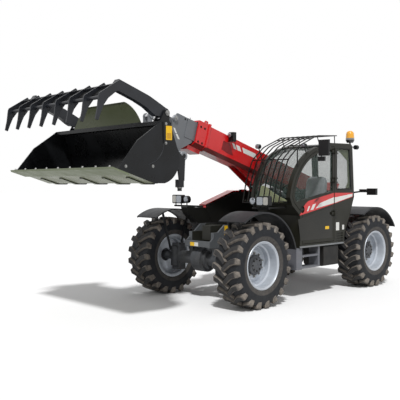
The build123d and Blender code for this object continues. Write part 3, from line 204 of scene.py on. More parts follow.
# Weathered surface: a second tone in soft patches, dust that thins out with height, a fine grain.
skin, skin_in, skin_out = shader_group("weathered", [
    ("Colour", "Color", (0.5, 0.5, 0.5)), ("Second", "Color", (0.4, 0.4, 0.4)), ("Dust", "Color", (0.3, 0.28, 0.24)),
    ("Mottle", "Float", 0.4), ("Scale", "Float", 6.0), ("Roughness", "Float", 0.5), ("Spread", "Float", 0.15),
    ("Dusty", "Float", 0.4), ("Dust top", "Float", 1.4), ("Grain", "Float", 220.0)],
    [("Colour", "Color"), ("Roughness", "Float"), ("Height", "Float"), ("Dirt", "Float")])
place = node(skin, "TexCoord").outputs["Object"]
patch = node(skin, "TexNoise", [(place, 0), (skin_in.outputs["Scale"], 2)], _3=4.0, _4=0.6)
spread = node(skin, "MapRange", [(patch.outputs[0], 0)], _1=0.38, _2=0.66)
share = node(skin, "Math", [(spread.outputs[0], 0), (skin_in.outputs["Mottle"], 1)], operation="MULTIPLY")
toned = node(skin, "MixRGB", [(share.outputs[0], 0), (skin_in.outputs["Colour"], 1), (skin_in.outputs["Second"], 2)])
axes = node(skin, "SeparateXYZ", [(place, 0)])
lowness = node(skin, "MapRange", [(axes.outputs[2], 0), (skin_in.outputs["Dust top"], 2)], _1=0.0, _3=1.0, _4=0.0)
smear = node(skin, "TexNoise", [(place, 0)], _2=3.1, _3=6.0, _4=0.65)
blot = node(skin, "MapRange", [(smear.outputs[0], 0)], _1=0.36, _2=0.64, _3=0.25, _4=1.0)
settled = node(skin, "Math", [(lowness.outputs[0], 0), (blot.outputs[0], 1)], operation="MULTIPLY")
dirt = node(skin, "Math", [(settled.outputs[0], 0), (skin_in.outputs["Dusty"], 1)], operation="MULTIPLY",
            use_clamp=True)
dusted = node(skin, "MixRGB", [(dirt.outputs[0], 0), (toned.outputs[0], 1), (skin_in.outputs["Dust"], 2)])
sway = node(skin, "Math", [(spread.outputs[0], 0), (skin_in.outputs["Spread"], 1), (skin_in.outputs["Roughness"], 2)],
            operation="MULTIPLY_ADD")
matted = node(skin, "Math", [(dirt.outputs[0], 0), (sway.outputs[0], 2)], operation="MULTIPLY_ADD", use_clamp=True,
              _1=0.35)
grain = node(skin, "TexNoise", [(place, 0), (skin_in.outputs["Grain"], 2)], _3=2.0, _4=0.5)
for value, label in ((dusted, "Colour"), (matted, "Roughness"), (grain, "Height"), (dirt, "Dirt")):
    skin.links.new(value.outputs[0], skin_out.inputs[label])


def finish(name, colour, rough=0.5, second=None, mottle=0.4, scale=6.0, spread=0.12, dust=(150, 140, 124),
           dusty=0.35, top=1.5, grain=220.0, bump=0.12, depth=0.0006, metal=0.0, coat=0.0, sheen=0.0,
           shine=0.5):
    """Material of one finish: the weathered group with this finish's values into one Principled shader.

    Colours are 0-255; second is the mottle's tone, dusty the share of dust at the ground, top the height in
    metres where dust ends, depth the relief in metres, shine the level of plain reflection.
    """
    mat = bpy.data.materials.new(name)
    mat.use_nodes = True
    tree = mat.node_tree
    b = tree.nodes["Principled BSDF"]
    g = tree.nodes.new("ShaderNodeGroup")
    g.node_tree = skin
    g.name = "weathered"
    second = second or tuple(0.78 * c for c in colour)
    for label, value in (("Colour", (*tint(*colour), 1)), ("Second", (*tint(*second), 1)), ("Dust", (*tint(*dust), 1)),
                         ("Mottle", mottle), ("Scale", scale), ("Roughness", rough), ("Spread", spread),
                         ("Dusty", dusty), ("Dust top", top), ("Grain", grain)):
        g.inputs[label].default_value = value
    relief = node(tree, "Bump", [(g.outputs["Height"], "Height")])
    relief.inputs["Strength"].default_value = bump
    relief.inputs["Distance"].default_value = depth
    tree.links.new(g.outputs["Colour"], b.inputs["Base Color"])
    tree.links.new(g.outputs["Roughness"], b.inputs["Roughness"])
    tree.links.new(relief.outputs[0], b.inputs["Normal"])
    b.inputs["Metallic"].default_value = metal
    b.inputs["Coat Weight"].default_value = coat
    b.inputs["Sheen Weight"].default_value = sheen
    b.inputs["Specular IOR Level"].default_value = shine
    return mat


def over(mat, mask, colour):
    """Lays a second colour over the finish's own where the mask socket is 1."""
    tree = mat.node_tree
    b = tree.nodes["Principled BSDF"]
    under = b.inputs["Base Color"].links[0].from_socket
    mix = node(tree, "MixRGB", [(mask, 0), (under, 1)], _2=(*tint(*colour), 1))
    tree.links.new(mix.outputs[0], b.inputs["Base Color"])
    return mat


def band(mat, axis, start, end, space="Object"):
    """Mask socket that runs from 0 to 1 between two places along an axis."""
    tree = mat.node_tree
    xyz = node(tree, "SeparateXYZ", [(node(tree, "TexCoord").outputs[space], 0)])
    return node(tree, "MapRange", [(xyz.outputs[axis], 0)], _1=start, _2=end).outputs[0]


def both(mat, first, second):
    """Mask socket that is 1 only where both masks are."""
    return node(mat.node_tree, "Math", [(first, 0), (second, 1)], operation="MULTIPLY").outputs[0]


def paint(mat, *names):
    """Gives CAD nodes their finish."""
    for name in names:
        mesh = frame["nodes"][name].data
        mesh.materials.clear()
        mesh.materials.append(mat)


def add(name, points, faces, body, mat, slot, sharp=35):
    """One mesh piece from arrays: doubles merged, faces turned outwards, smooth but for sharp edges."""
    mesh = bpy.data.meshes.new(name)
    polygons = [face for group in faces for face in np.asarray(group).tolist()]
    mesh.from_pydata(np.asarray(points).tolist(), [], polygons)
    shape = bmesh.new()
    shape.from_mesh(mesh)
    bmesh.ops.remove_doubles(shape, verts=shape.verts, dist=1e-6)
    bmesh.ops.recalc_face_normals(shape, faces=shape.faces)
    shape.to_mesh(mesh)
    shape.free()
    mesh.shade_smooth()
    mesh.set_sharp_from_angle(angle=math.radians(sharp))
    mesh.materials.append(mat)
    piece = bpy.data.objects.new(name, mesh)
    bpy.context.collection.objects.link(piece)
    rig.ride(piece, body)
    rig.slot(piece, slot)
    return piece


def grid_faces(rows, cols, round_rows=False, round_cols=False, start=0):
    """Quads of a rows x cols grid of points: each joins (i, j), (i+1, j), (i+1, j+1), (i, j+1)."""
    i, j = np.meshgrid(np.arange(rows - (not round_rows)), np.arange(cols - (not round_cols)), indexing="ij")
    i2, j2 = (i + 1) % rows, (j + 1) % cols
    return start + np.stack([i * cols + j, i2 * cols + j, i2 * cols + j2, i * cols + j2], -1).reshape(-1, 4)


def turned(profile, centre, side, steps):
    """Profile (out, radius) carried round an axle: x = r cos a, y = side * out, z = r sin a."""
    out, r = np.array(profile).T
    a = np.linspace(0, 2 * np.pi, steps, endpoint=False)[:, None]
    p = np.stack([r * np.cos(a), side * out + 0 * a, r * np.sin(a)], -1).reshape(-1, 3) + centre
    return p, grid_faces(steps, len(out), True, True)


def soft_corners(points, times=2):
    """Rounds a closed line: each side keeps its middle half, as many times over as asked."""
    p = np.array(points, float)
    for _ in range(times):
        after = np.roll(p, -1, axis=0)
        p = np.stack([0.75 * p + 0.25 * after, 0.25 * p + 0.75 * after], 1).reshape(-1, 2)
    return p


RUBBER = finish("tyre_rubber", (36, 38, 42), 0.58, (22, 23, 26), scale=14, dust=(78, 78, 76), dusty=0.22, top=1.0,
                grain=420, bump=0.2, shine=0.22)
# lighter warm grey on the lugs in patches, read from the tyre's own attribute: dust, and a painted highlight on their
# upper flanks where the light catches them
worn_and_highlit = node(RUBBER.node_tree, "Attribute", attribute_name="wear_and_highlight").outputs["Fac"]
patch_noise = node(RUBBER.node_tree, "TexNoise", [(node(RUBBER.node_tree, "TexCoord").outputs["Object"], 0)], _2=26.0, _3=5.0)
patchy = node(RUBBER.node_tree, "MapRange", [(patch_noise.outputs[0], 0)], _1=0.2, _2=0.6, _3=0.35).outputs[0]
over(RUBBER, both(RUBBER, worn_and_highlit, patchy), (138, 130, 121))

carcass = soft_corners([
    (0.186, 0.308), (0.196, 0.335), (0.212, 0.372), (0.2185, 0.430), (0.214, 0.490), (0.203, 0.534), (0.185, 0.549),
    (0.10, TREAD_R + 0.001), (-0.10, TREAD_R + 0.001), (-0.185, 0.549), (-0.203, 0.534), (-0.214, 0.490),
    (-0.2185, 0.430), (-0.212, 0.372), (-0.196, 0.335), (-0.186, 0.308), (-0.170, 0.309), (0.170, 0.309)], 2)
# raised rings on each flank: place up the flank, half width, height
flank = np.abs(carcass[:, 0]) > 0.19
for ring_r, half, rise in ((0.357, 0.006, 0.004), (0.398, 0.005, 0.003), (0.505, 0.006, 0.003)):
    carcass[:, 0] += np.sign(carcass[:, 0]) * flank * rise * np.clip(1 - np.abs(carcass[:, 1] - ring_r) / half, 0, 1)


def lug_bars(centre, side):
    """Bent bars along a centre line: a loop of points (base, flank, top and back) at each station.

    Along the tread the line follows -(0.30 d + 0.60 soft(d - 0.085)), d inwards from the outer end, where
    soft(x) = (x + sqrt(x^2 + 0.03^2)) / 2; its first steps climb the shoulder from the flank to the tread.
    """
    # stations: out from the tyre's middle, radius of the bar's top and of its foot
    across = np.array([0.2195, 0.2190, 0.2150, 0.2030, 0.182, 0.158, 0.133, 0.106, 0.080, 0.054, 0.028, 0.004, -0.016])
    top = 0.5963 - 0.0070 * (across / 0.19) ** 2
    top[:3] = (0.500, 0.542, 0.575)
    foot_across, foot = across - 0.001, np.full(len(across), 0.543)
    foot_across[:3], foot[:3] = (0.198, 0.194, 0.190), (0.488, 0.518, 0.535)
    d = 0.19 - np.minimum(across, 0.19)
    soft = (d - 0.085 + np.sqrt((d - 0.085) ** 2 + 0.03 ** 2)) / 2
    along = -(0.30 * d + 0.60 * soft) + 0.005
    half = np.interp(across, [-0.013, 0.08, 0.19], [0.025, 0.032, 0.038])
    da, dl = np.gradient(across), np.gradient(along)
    da[:3], dl[:3] = da[4], dl[4]
    size = np.hypot(da, dl)
    wide = np.stack([-dl / size, da / size], 1) * half[:, None]
    # section of a bar: place across it in half widths, share of its height
    u = np.array([-1.40, -1.0, -0.86, 0.86, 1.0, 1.40])
    h = np.array([0.0, 0.86, 1.0, 1.0, 0.86, 0.0])
    y_in_row = foot_across[:, None] + h * (across - foot_across)[:, None] + u * wide[:, :1]
    length = along[:, None] + u * wide[:, 1:]
    r = foot[:, None] + h * (top - foot)[:, None]
    stations, loop = length.shape
    each = stations * loop
    quads = grid_faces(stations, loop, False, True)
    # share of lighter grey round a bar's section: most on the upper flanks, which is a painted highlight, least on the
    # top
    lug_wear_and_highlight = np.tile(np.array([0.35, 0.85, 0.10, 0.10, 0.85, 0.35]), (stations, 1))
    lug_wear_and_highlight[:4] = np.maximum(lug_wear_and_highlight[:4], np.array([0.75, 0.9, 0.7, 0.45])[:, None])
    points, faces = [], []
    for row in (-1, 1):
        turn = np.radians((np.arange(LUGS) + row / 4) * 360 / LUGS + 270)[:, None, None]
        angle = turn + (length + 0.063) / LUG_R
        y = side * row * y_in_row + 0 * angle
        begin = len(points) * LUGS * each
        points.append(np.stack([r * np.cos(angle), y, r * np.sin(angle)], -1).reshape(-1, 3) + centre)
        for first in range(begin, begin + LUGS * each, each):
            faces.append(quads + first)
            faces.append([list(range(first, first + loop))])
            faces.append([list(range(first + each - loop, first + each))])
    return np.concatenate(points), faces, np.tile(lug_wear_and_highlight.ravel(), 2 * LUGS)


def wheel_middle(corner):
    """Middle of a wheel on its axle, from its tyre's box, and +1 on the left or -1 on the right."""
    a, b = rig.box(corner + "_tyre")
    return (np.array(a) + np.array(b)) / 2, 1 if "left" in corner else -1


for corner in CORNERS:
    middle, side = wheel_middle(corner)
    body_points, body_faces = turned(carcass, middle, side, 120)
    bars, bar_faces, wear_and_highlight = lug_bars(middle, side)
    faces = [body_faces] + [np.asarray(f) + len(body_points) for f in bar_faces]
    tyre = add(corner + "_tread", np.concatenate([body_points, bars]), faces, corner + "_wheel", RUBBER, "tyre", 30)
    r = np.hypot(*(body_points - middle)[:, [0, 2]].T)
    body_wear = 0.25 * ((r > 0.34) & (r < 0.40))
    flag = tyre.data.attributes.new("wear_and_highlight", "FLOAT", "POINT")
    flag.data.foreach_set("value", np.concatenate([body_wear, wear_and_highlight]).astype(np.float32))
    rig.replaces(tyre, corner + "_tyre")

# ---------------------------------------------------------------- rims
# Pressed steel rims, painted silver-white: a stepped dish welded into the barrel, and a dark cast
# hub held by a ring of nuts; a valve stands in the well.
SILVER = finish("rim_silver", (196, 202, 210), 0.32, (168, 175, 184), scale=8, dust=(120, 116, 110), dusty=0.35,
                top=1.2, coat=0.3, metal=0.35)
HUB = finish("hub_casting", (74, 77, 82), 0.5, (56, 58, 62), scale=20, dust=(96, 92, 86), dusty=0.25, grain=90,
             bump=0.4, depth=0.002)
BRIGHT = finish("zinc_bolts", (150, 150, 148), 0.35, (110, 110, 108), scale=60, metal=0.85, dusty=0.2)
BLACK = finish("black_paint", (24, 24, 23), 0.28, (15, 15, 15), scale=5, dust=(60, 58, 46), dusty=0.25, top=1.7,
               shine=0.16)
# profiles of rim and hub: out from the wheel's middle, radius
rim_profile = [
    (0.188, 0.3345), (0.196, 0.3345), (0.201, 0.331), (0.201, 0.321), (0.194, 0.316), (0.186, 0.302), (0.150, 0.294),
    (0.085, 0.292), (0.072, 0.289), (0.058, 0.268), (0.010, 0.2655), (-0.006, 0.262), (-0.010, 0.252), (0.004, 0.236),
    (0.007, 0.230), (0.007, 0.222), (0.014, 0.216), (0.021, 0.206), (0.0225, 0.196), (0.0225, 0.176), (0.026, 0.170),
    (0.026, 0.150), (0.0225, 0.146), (0.022, 0.100), (-0.010, 0.100), (-0.012, 0.200), (-0.030, 0.262), (-0.098, 0.266),
    (-0.112, 0.291), (-0.190, 0.292), (-0.200, 0.320), (-0.200, 0.333), (-0.188, 0.333), (-0.188, 0.304),
    (-0.110, 0.304), (-0.095, 0.279), (0.060, 0.279), (0.075, 0.304), (0.188, 0.304)]
hub_profile = [(0.020, 0.102), (0.020, 0.140), (0.050, 0.138), (0.060, 0.130), (0.066, 0.112), (0.070, 0.100),
               (0.078, 0.096), (0.078, 0.066), (0.0795, 0.062), (0.0795, 0.022), (0.076, 0.016), (0.076, 0.002),
               (0.058, 0.002), (0.058, 0.062), (0.030, 0.064)]


def square_axes(axis):
    """An axis of length 1 and two more that are square to it."""
    axis = np.array(axis, float) / np.linalg.norm(axis)
    first = np.cross(axis, [0.0, 0.0, 1.0] if abs(axis[2]) < 0.9 else [1.0, 0.0, 0.0])
    first /= np.linalg.norm(first)
    return axis, first, np.cross(axis, first)


def hex_bolts(places, axis, r, height):
    """Hexagon heads on round washers: rings of points round each place, each at its share of r and height."""
    places = np.atleast_2d(places)
    axis, first, second = square_axes(axis)
    steps = 12
    a = np.arange(steps)[:, None] * np.pi / 6
    hexagon = np.where(np.arange(steps) % 2, 0.935, 1.08)[:, None]
    rings = [(1.7, -0.002, 1), (1.7, 0.12, 1), (1.55, 0.18, 1), (1.0, 0.18, hexagon), (1.0, 0.86, hexagon),
             (0.86, 1.0, 1)]
    one = np.concatenate([r * wide * form * (np.cos(a) * first + np.sin(a) * second) + axis * up * height
                          for wide, up, form in rings])
    points = (places[:, None, :] + one[None]).reshape(-1, 3)
    quads = grid_faces(len(rings), steps, False, True)
    faces = []
    for begin in range(0, len(points), len(one)):
        end = begin + len(one)
        faces += [quads + begin, [list(range(begin, begin + steps))], [list(range(end - steps, end))]]
    return points, faces


def bolts(name, places, axis, r, height, body, mat=BRIGHT, slot="worn_steel"):
    """Bolt heads at places measured from HOME, as one piece."""
    p, q = hex_bolts(np.array(places) + HOME, axis, r, height)
    return add(name, p, q, body, mat, slot)


def ring_places(centre, axis_y, r, count, start=0.0):
    """Places evenly round a circle in the XZ plane."""
    a = np.radians(start) + np.arange(count) * 2 * np.pi / count
    return centre + np.stack([r * np.cos(a), np.full(count, axis_y), r * np.sin(a)], -1)


for corner in CORNERS:
    middle, side = wheel_middle(corner)
    body = corner + "_wheel"
    p, q = turned(rim_profile, middle, side, 96)
    rim = add(corner + "_wheel_dish", p, [q], body, SILVER, "rim_paint", 30)
    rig.replaces(rim, corner + "_rim")
    p, q = turned(hub_profile, middle, side, 72)
    add(corner + "_hub", p, [q], body, HUB, "cast", 30)
    p, q = hex_bolts(ring_places(middle, side * 0.025, 0.160, 10, 18), (0, side, 0), 0.0125, 0.024)
    add(corner + "_wheel_nuts", p, q, body, BRIGHT, "worn_steel", 30)
    p, q = hex_bolts(ring_places(middle, side * 0.0782, 0.082, 8), (0, side, 0), 0.008, 0.010)
    add(corner + "_hub_bolts", p, q, body, BLACK, "black_paint", 30)
    p, q = hex_bolts(ring_places(middle, side * 0.058, 0.281, 1, 40), (0, side, 0), 0.006, 0.05)
    add(corner + "_valve", p, q, body, BLACK, "plastic", 30)

# ---------------------------------------------------------------- axles, knuckles, fenders
# Cast axle beams with steered knuckles; each knuckle carries a pressed black fender with a
# rolled lip along its outer edge, on two stays.
CAST = finish("cast_iron", (68, 71, 76), 0.55, (46, 48, 52), scale=12, dust=(96, 92, 84), dusty=0.4, grain=120,
              bump=0.45, depth=0.0015, shine=0.3)
paint(CAST, "front_axle", "rear_axle", *[c + "_knuckle" for c in CORNERS])
FENDER = finish("fender_plastic", (30, 32, 36), 0.42, (24, 25, 28), scale=7, dust=(84, 82, 78), dusty=0.25, top=1.9,
                grain=300, bump=0.2, shine=0.3)
paint(FENDER, *[c + "_fender" for c in CORNERS])


def tube(path, r, up=(0.0, 0.0, 1.0), steps=10):
    """Round bar along a path: rings of points r (cos a n + sin a b), n and b square to the path."""
    path = np.array(path, float)
    along = np.gradient(path, axis=0)
    along /= np.linalg.norm(along, axis=1)[:, None]
    n = np.cross(along, np.array(up, float))
    n /= np.linalg.norm(n, axis=1)[:, None]
    b = np.cross(along, n)
    a = np.linspace(0, 2 * np.pi, steps, endpoint=False)[None, :, None]
    p = path[:, None, :] + r * (np.cos(a) * n[:, None, :] + np.sin(a) * b[:, None, :])
    ends = [[list(range(steps))], [list(range((len(path) - 1) * steps, len(path) * steps))]]
    return p.reshape(-1, 3), [grid_faces(len(path), steps, False, True)] + ends


def eased(points, r=0.05, steps=5):
    """Line through points with each corner bent on a parabola that starts r before it."""
    p = np.array(points, float)
    out = [p[:1]]
    for a, b, c in zip(p, p[1:], p[2:]):
        s = b + (a - b) * min(r / np.linalg.norm(a - b), 0.45)
        e = b + (c - b) * min(r / np.linalg.norm(c - b), 0.45)
        k = np.linspace(0, 1, steps)[:, None]
        out.append((1 - k) ** 2 * s + 2 * k * (1 - k) * b + k ** 2 * e)
    return np.concatenate(out + [p[-1:]])


LIP_R = 0.713
for corner in CORNERS:
    middle, side = wheel_middle(corner)
    low, high = np.array(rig.box(corner + "_fender"))
    front = "front" in corner
    a = np.radians(np.linspace(*((56, 166) if front else (58, 148)), 40))
    edge_y = (high[1] if side > 0 else low[1]) - side * 0.006
    arc = np.stack([middle[0] + LIP_R * np.cos(a), np.full(40, edge_y), middle[2] + LIP_R * np.sin(a)], 1)
    p, q = tube(arc, 0.0085, (0, 1, 0))
    add(corner + "_fender_lip", p, q, corner + "_steering", FENDER, "black_paint")
    stay_y = middle[1] - side * 0.238
    heads = [(middle[0] + k * 0.262, stay_y, middle[2] + 0.690) for k in (-1, 1)]
    p, q = hex_bolts(np.array(heads) + [0, side * 0.012, -0.02], (0, side, 0), 0.009, 0.010)
    add(corner + "_stay_bolts", p, q, corner + "_steering", BRIGHT, "worn_steel")

# ---------------------------------------------------------------- chassis and counterweight
# Welded plate frame, grey at the nose and black behind, with the front axle's seat between two
# sloping cheeks, and a cast counterweight bolted on behind.
FRAME = finish("frame_grey", (88, 92, 96), 0.48, (70, 73, 77), scale=4, dust=(104, 100, 92), dusty=0.3, top=1.5,
               shine=0.4)
between = both(FRAME, band(FRAME, 1, HOME[1] - 0.236, HOME[1] - 0.232),
               band(FRAME, 1, HOME[1] + 0.236, HOME[1] + 0.232))
over(FRAME, both(FRAME, between, band(FRAME, 0, HOME[0] + 0.096, HOME[0] + 0.090)), (34, 34, 28))
over(FRAME, band(FRAME, 0, HOME[0] - 0.30, HOME[0] - 0.34), (24, 25, 27))
paint(FRAME, "chassis")
WEIGHT = finish("weight_casting", (34, 35, 38), 0.5, (26, 27, 29), scale=6, dusty=0.3, grain=80, bump=0.5, depth=0.002,
                shine=0.3)
paint(WEIGHT, "counterweight")
YELLOW = finish("label_yellow", (236, 188, 20), 0.4, (226, 174, 14), scale=10, dusty=0.15)
YELLOW_DARK = finish("label_ochre", (196, 146, 20), 0.4, (176, 130, 18), scale=30, dusty=0.15)
WHITE = finish("label_white", (222, 222, 218), 0.4, (206, 206, 202), scale=10, dusty=0.15)
RED = finish("red_paint", (204, 14, 18), 0.30, (182, 10, 14), mottle=0.5, scale=2.2, dust=(120, 60, 50), dusty=0.2,
             top=1.6, coat=0.5, grain=500, bump=0.05)


def sheet_plate(outline, axis, start, end):
    """Flat plate: an outline in the two other axes, closed between two places along the axis."""
    line = np.array(outline, float)
    others = [k for k in range(3) if k != axis]
    p = np.zeros((2, len(line), 3))
    p[..., others] = line
    p[0, :, axis], p[1, :, axis] = start, end
    n = len(line)
    this, after = np.arange(n), (np.arange(n) + 1) % n
    walls = np.stack([this, after, after + n, this + n], 1)
    return p.reshape(-1, 3) + HOME, [walls, [list(range(n))], [list(range(n, 2 * n))]]


def rounded_box(a0, a1, b0, b1, r=0.008, steps=4):
    """Rectangle with round corners as a closed line."""
    t = np.linspace(0, np.pi / 2, steps)
    corners = ((a1 - r, b1 - r, 0), (a0 + r, b1 - r, 1), (a0 + r, b0 + r, 2), (a1 - r, b0 + r, 3))
    return np.concatenate([np.stack([a + r * np.cos(t + k * np.pi / 2), b + r * np.sin(t + k * np.pi / 2)], 1)
                           for a, b, k in corners])


def label(name, outline, axis, face, out, body, mat, lift=0.0012, slot="black_paint"):
    """Stuck-on sheet on a face, its outer side lifted out by a hair."""
    p, q = sheet_plate(outline, axis, face, face + out * lift)
    return add(name, p, q, body, mat, slot)


label("frame_label", rounded_box(-0.240, -0.120, 0.955, 1.095), 1, 0.2602, 1, "machine", YELLOW)
label("frame_label_panel", rounded_box(-0.222, -0.138, 0.966, 1.015, 0.004), 1, 0.2614, 1, "machine", YELLOW_DARK,
      0.0008)
BEAM_FACE = 0.1852
label("beam_label", rounded_box(-0.146, -0.058, 0.797, 0.852, 0.004), 0, BEAM_FACE, 1, "machine", YELLOW)
label("beam_label_2", rounded_box(-0.056, 0.022, 0.797, 0.852, 0.004), 0, BEAM_FACE, 1, "machine", WHITE)
bolts("counterweight_bolts", [(-3.5798, y, z) for y in (-0.30, 0.30) for z in (0.82, 1.05)], (-1, 0, 0), 0.02, 0.012,
      "machine")

# ---------------------------------------------------------------- boom
# Box-section outer boom, painted red, with a dark flash and white stripes stuck on its sides,
# bolted wear-pad plates at its mouth, a black lamp box and two steel oil pipes in clamps.
BOOM = finish("boom_red", (206, 14, 18), 0.32, (186, 10, 14), mottle=0.5, scale=1.8, dusty=0.0, coat=0.45, grain=500,
              bump=0.05)
# downward faces a dark brown-red: painted shade on the boom's underside
over(BOOM, band(BOOM, 2, -0.45, -0.8, "Normal"), (112, 30, 26))
paint(BOOM, "boom_outer")
DARK_RED = finish("dark_red", (120, 12, 16), 0.4, (104, 10, 14), dusty=0.05)
PIVOT = np.array([-3.050, 1.500])
BOOM_ANGLE = math.radians(16.2)
ALONG = np.array([math.cos(BOOM_ANGLE), math.sin(BOOM_ANGLE)])
UP = np.array([-math.sin(BOOM_ANGLE), math.cos(BOOM_ANGLE)])
BOOM_FACE = 0.1702


def on_boom(*places):
    """Places (distance along the boom, height over its pivot line) as X, Z."""
    s, h = np.array(places, float).T
    return PIVOT + s[:, None] * ALONG + h[:, None] * UP


flash = [(-0.150, 2.215), (-0.190, 2.345), (-0.335, 2.310), (-0.400, 2.130), (-0.300, 2.150)]
stripes = ([(-0.379, 2.322), (-0.435, 2.305), (-0.475, 2.222), (-0.415, 2.240)],
           [(-0.462, 2.300), (-0.545, 2.275), (-0.585, 2.195), (-0.500, 2.215)],
           [(-0.600, 2.262), (-0.905, 2.178), (-0.935, 2.095), (-0.630, 2.180)])
for side, hand in SIDES:
    label(f"boom_{hand}_flash_0", flash, 1, side * BOOM_FACE, side, "boom", DARK_RED)
    for k, outline in enumerate(stripes):
        label(f"boom_{hand}_stripe_{k}", outline, 1, side * BOOM_FACE, side, "boom", WHITE)
    places = on_boom((3.40, -0.17), (3.40, 0.05), (3.48, -0.17), (3.48, 0.05))
    bolts(f"boom_{hand}_pad_bolts", np.insert(places, 1, side * 0.1825, axis=1), (0, side, 0), 0.010, 0.010, "boom",
          BLACK, "black_paint")
    bolts(f"boom_{hand}_ram_pin_bolt", [[-1.1, side * 0.1035, 1.669]], (0, side, 0), 0.018, 0.012, "boom")
places = on_boom((3.40, 0.1325), (3.48, 0.1325))
bolts("boom_top_pad_bolts", [[x, y, z] for x, z in places for y in (-0.09, 0.09)], (UP[0], 0, UP[1]), 0.010, 0.010,
      "boom", BLACK, "black_paint")
PIPE = finish("pipe_steel", (60, 61, 63), 0.35, (44, 45, 47), scale=18, metal=0.6, dusty=0.1)
for k in range(2):
    line = on_boom(*[(s, 0.02 - 0.028 * k) for s in (0.5, 0.9, 2.2, 3.1)])
    p, q = tube(eased(np.insert(line, 1, -0.182, axis=1) + HOME, 0.06), 0.0085, (0, 1, 0))
    add(f"boom_pipe_{k}", p, q, "boom", PIPE, "black_paint")
for k, s in enumerate((0.7, 1.3, 1.9, 2.5, 3.0)):
    clamp = on_boom((s - 0.02, -0.025), (s + 0.02, -0.025), (s + 0.02, 0.038), (s - 0.02, 0.038))
    p, q = sheet_plate(clamp, 1, -BOOM_FACE, -0.195)
    add(f"boom_pipe_clamp_{k}", p, q, "boom", BLACK, "black_paint")
PLASTIC = finish("black_plastic", (26, 27, 28), 0.40, (20, 21, 22), scale=9, dusty=0.1, grain=380, bump=0.2, shine=0.25)
paint(PLASTIC, "boom_lamp")

# ---------------------------------------------------------------- inner boom and head
# Grey telescopic section; its head is two cheek plates with the carriage pin below, welded on
# along a bead and drilled twice.
GREY = finish("section_grey", (103, 106, 110), 0.42, (90, 93, 97), scale=2.6, dusty=0.0, coat=0.25, grain=420,
              bump=0.08)
# downward faces a darker grey: painted shade on the section's underside
over(GREY, band(GREY, 2, -0.45, -0.8, "Normal"), (62, 62, 64))
paint(GREY, "boom_inner")
LIGHT_CAST = finish("pivot_casting", (146, 149, 153), 0.45, (112, 115, 120), scale=26, dusty=0.0, grain=110, bump=0.4,
                    depth=0.0015, metal=0.3)
SEAM = finish("weld_bead", (74, 76, 80), 0.5, (58, 60, 63), scale=90, dusty=0.0, grain=140, bump=0.9, depth=0.002)
HEAD_FACE = 0.1402
marks = ([(0.772, 2.482), (0.742, 2.478), (0.702, 2.405), (0.735, 2.410)],
         [(0.728, 2.398), (0.695, 2.396), (0.652, 2.325), (0.688, 2.328)])
head_boss = [(0.0, 0.004), (0.0, 0.046), (0.012, 0.046), (0.020, 0.038), (0.032, 0.036), (0.032, 0.004)]
for side, hand in SIDES:
    for k, outline in enumerate(marks):
        label(f"head_{hand}_mark_{k}", outline, 1, side * HEAD_FACE, side, "boom_extension", WHITE)
    p, q = turned(head_boss, HOME + [0.742, side * 0.1401, 2.612], side, 32)
    add(f"head_{hand}_boss", p, [q], "boom_extension", LIGHT_CAST, "worn_steel", 30)
    bolts(f"head_{hand}_boss_bolt", [[0.742, side * 0.172, 2.612]], (0, side, 0), 0.016, 0.012, "boom_extension")
    bolts(f"head_{hand}_hole_rims", [(0.545, side * HEAD_FACE, 2.612), (0.500, side * HEAD_FACE, 2.600)], (0, side, 0),
          0.009, 0.003, "boom_extension", BLACK, "black_paint")
    bead = np.array([(0.452, side * 0.141, 2.640), (0.470, side * 0.141, 2.480), (0.440, side * 0.141, 2.330)])
    p, q = tube(eased(bead + HOME, 0.05), 0.005, (0, 1, 0), 6)
    add(f"head_{hand}_weld", p, q, "boom_extension", SEAM, "grey_paint")
    bolts(f"head_{hand}_pin_bolt", [[0.700, side * 0.150, 2.090]], (0, side, 0), 0.020, 0.014, "boom_extension")

# ---------------------------------------------------------------- rams
# Hydraulic cylinders: welded tubes painted black, hard chromed rods that slide in them.
CHROME = finish("chrome_rod", (200, 200, 202), 0.10, (186, 186, 190), scale=30, metal=1.0, dusty=0.0, spread=0.06,
                bump=0.02)
paint(CHROME, "lift_cylinder_rod", "tilt_cylinder_rod", "grapple_cylinder_rods")
paint(BLACK, "lift_cylinder_tube", "tilt_cylinder_tube", "grapple_cylinder_tubes")

# ---------------------------------------------------------------- carriage
# Black quick-hitch carriage: two welded legs with hooks, light cast bosses bolted round the
# pivot, and a bright collar on the oil coupler below.
CARRIAGE = finish("carriage_black", (30, 31, 34), 0.32, (22, 23, 25), scale=6, dusty=0.0, shine=0.3)
over(CARRIAGE, band(CARRIAGE, 2, 2.450, 2.462), (128, 131, 135))
paint(CARRIAGE, "carriage")
boss = [(0.0, 0.032), (0.0, 0.074), (0.020, 0.074), (0.035, 0.060), (0.078, 0.056), (0.086, 0.066), (0.104, 0.066),
        (0.110, 0.060), (0.110, 0.032)]
pin_end = [(0.0, 0.004), (0.0, 0.031), (0.110, 0.031), (0.116, 0.026), (0.116, 0.004)]
pivot_x, pivot_z = 0.700, 2.090
collar = [(-0.052, 0.012), (-0.052, 0.020), (-0.040, 0.026), (-0.020, 0.026), (-0.016, 0.038), (0.004, 0.038),
          (0.010, 0.030), (0.026, 0.030), (0.026, 0.012)]
for side, hand in SIDES:
    p, q = turned(boss, HOME + [pivot_x, side * 0.1732, pivot_z], side, 40)
    add(f"pivot_{hand}_boss", p, [q], "tool_carriage", LIGHT_CAST, "worn_steel", 30)
    p, q = turned(pin_end, HOME + [pivot_x, side * 0.1732, pivot_z], side, 32)
    add(f"pivot_{hand}_pin", p, [q], "tool_carriage", CARRIAGE, "black_paint", 30)
    bolts(f"hook_{hand}_pin_bolts", [[1.230, side * 0.3602, z] for z in (2.400, 1.770)], (0, side, 0), 0.016, 0.010,
          "tool_carriage")
p, q = turned(collar, np.zeros(3), 1, 28)
p = p[:, [0, 2, 1]] * [1, 1, -1] + HOME + [0.820, 0.322, 1.655]
add("coupler_collar", p, [q], "tool_carriage", BRIGHT, "worn_steel", 30)
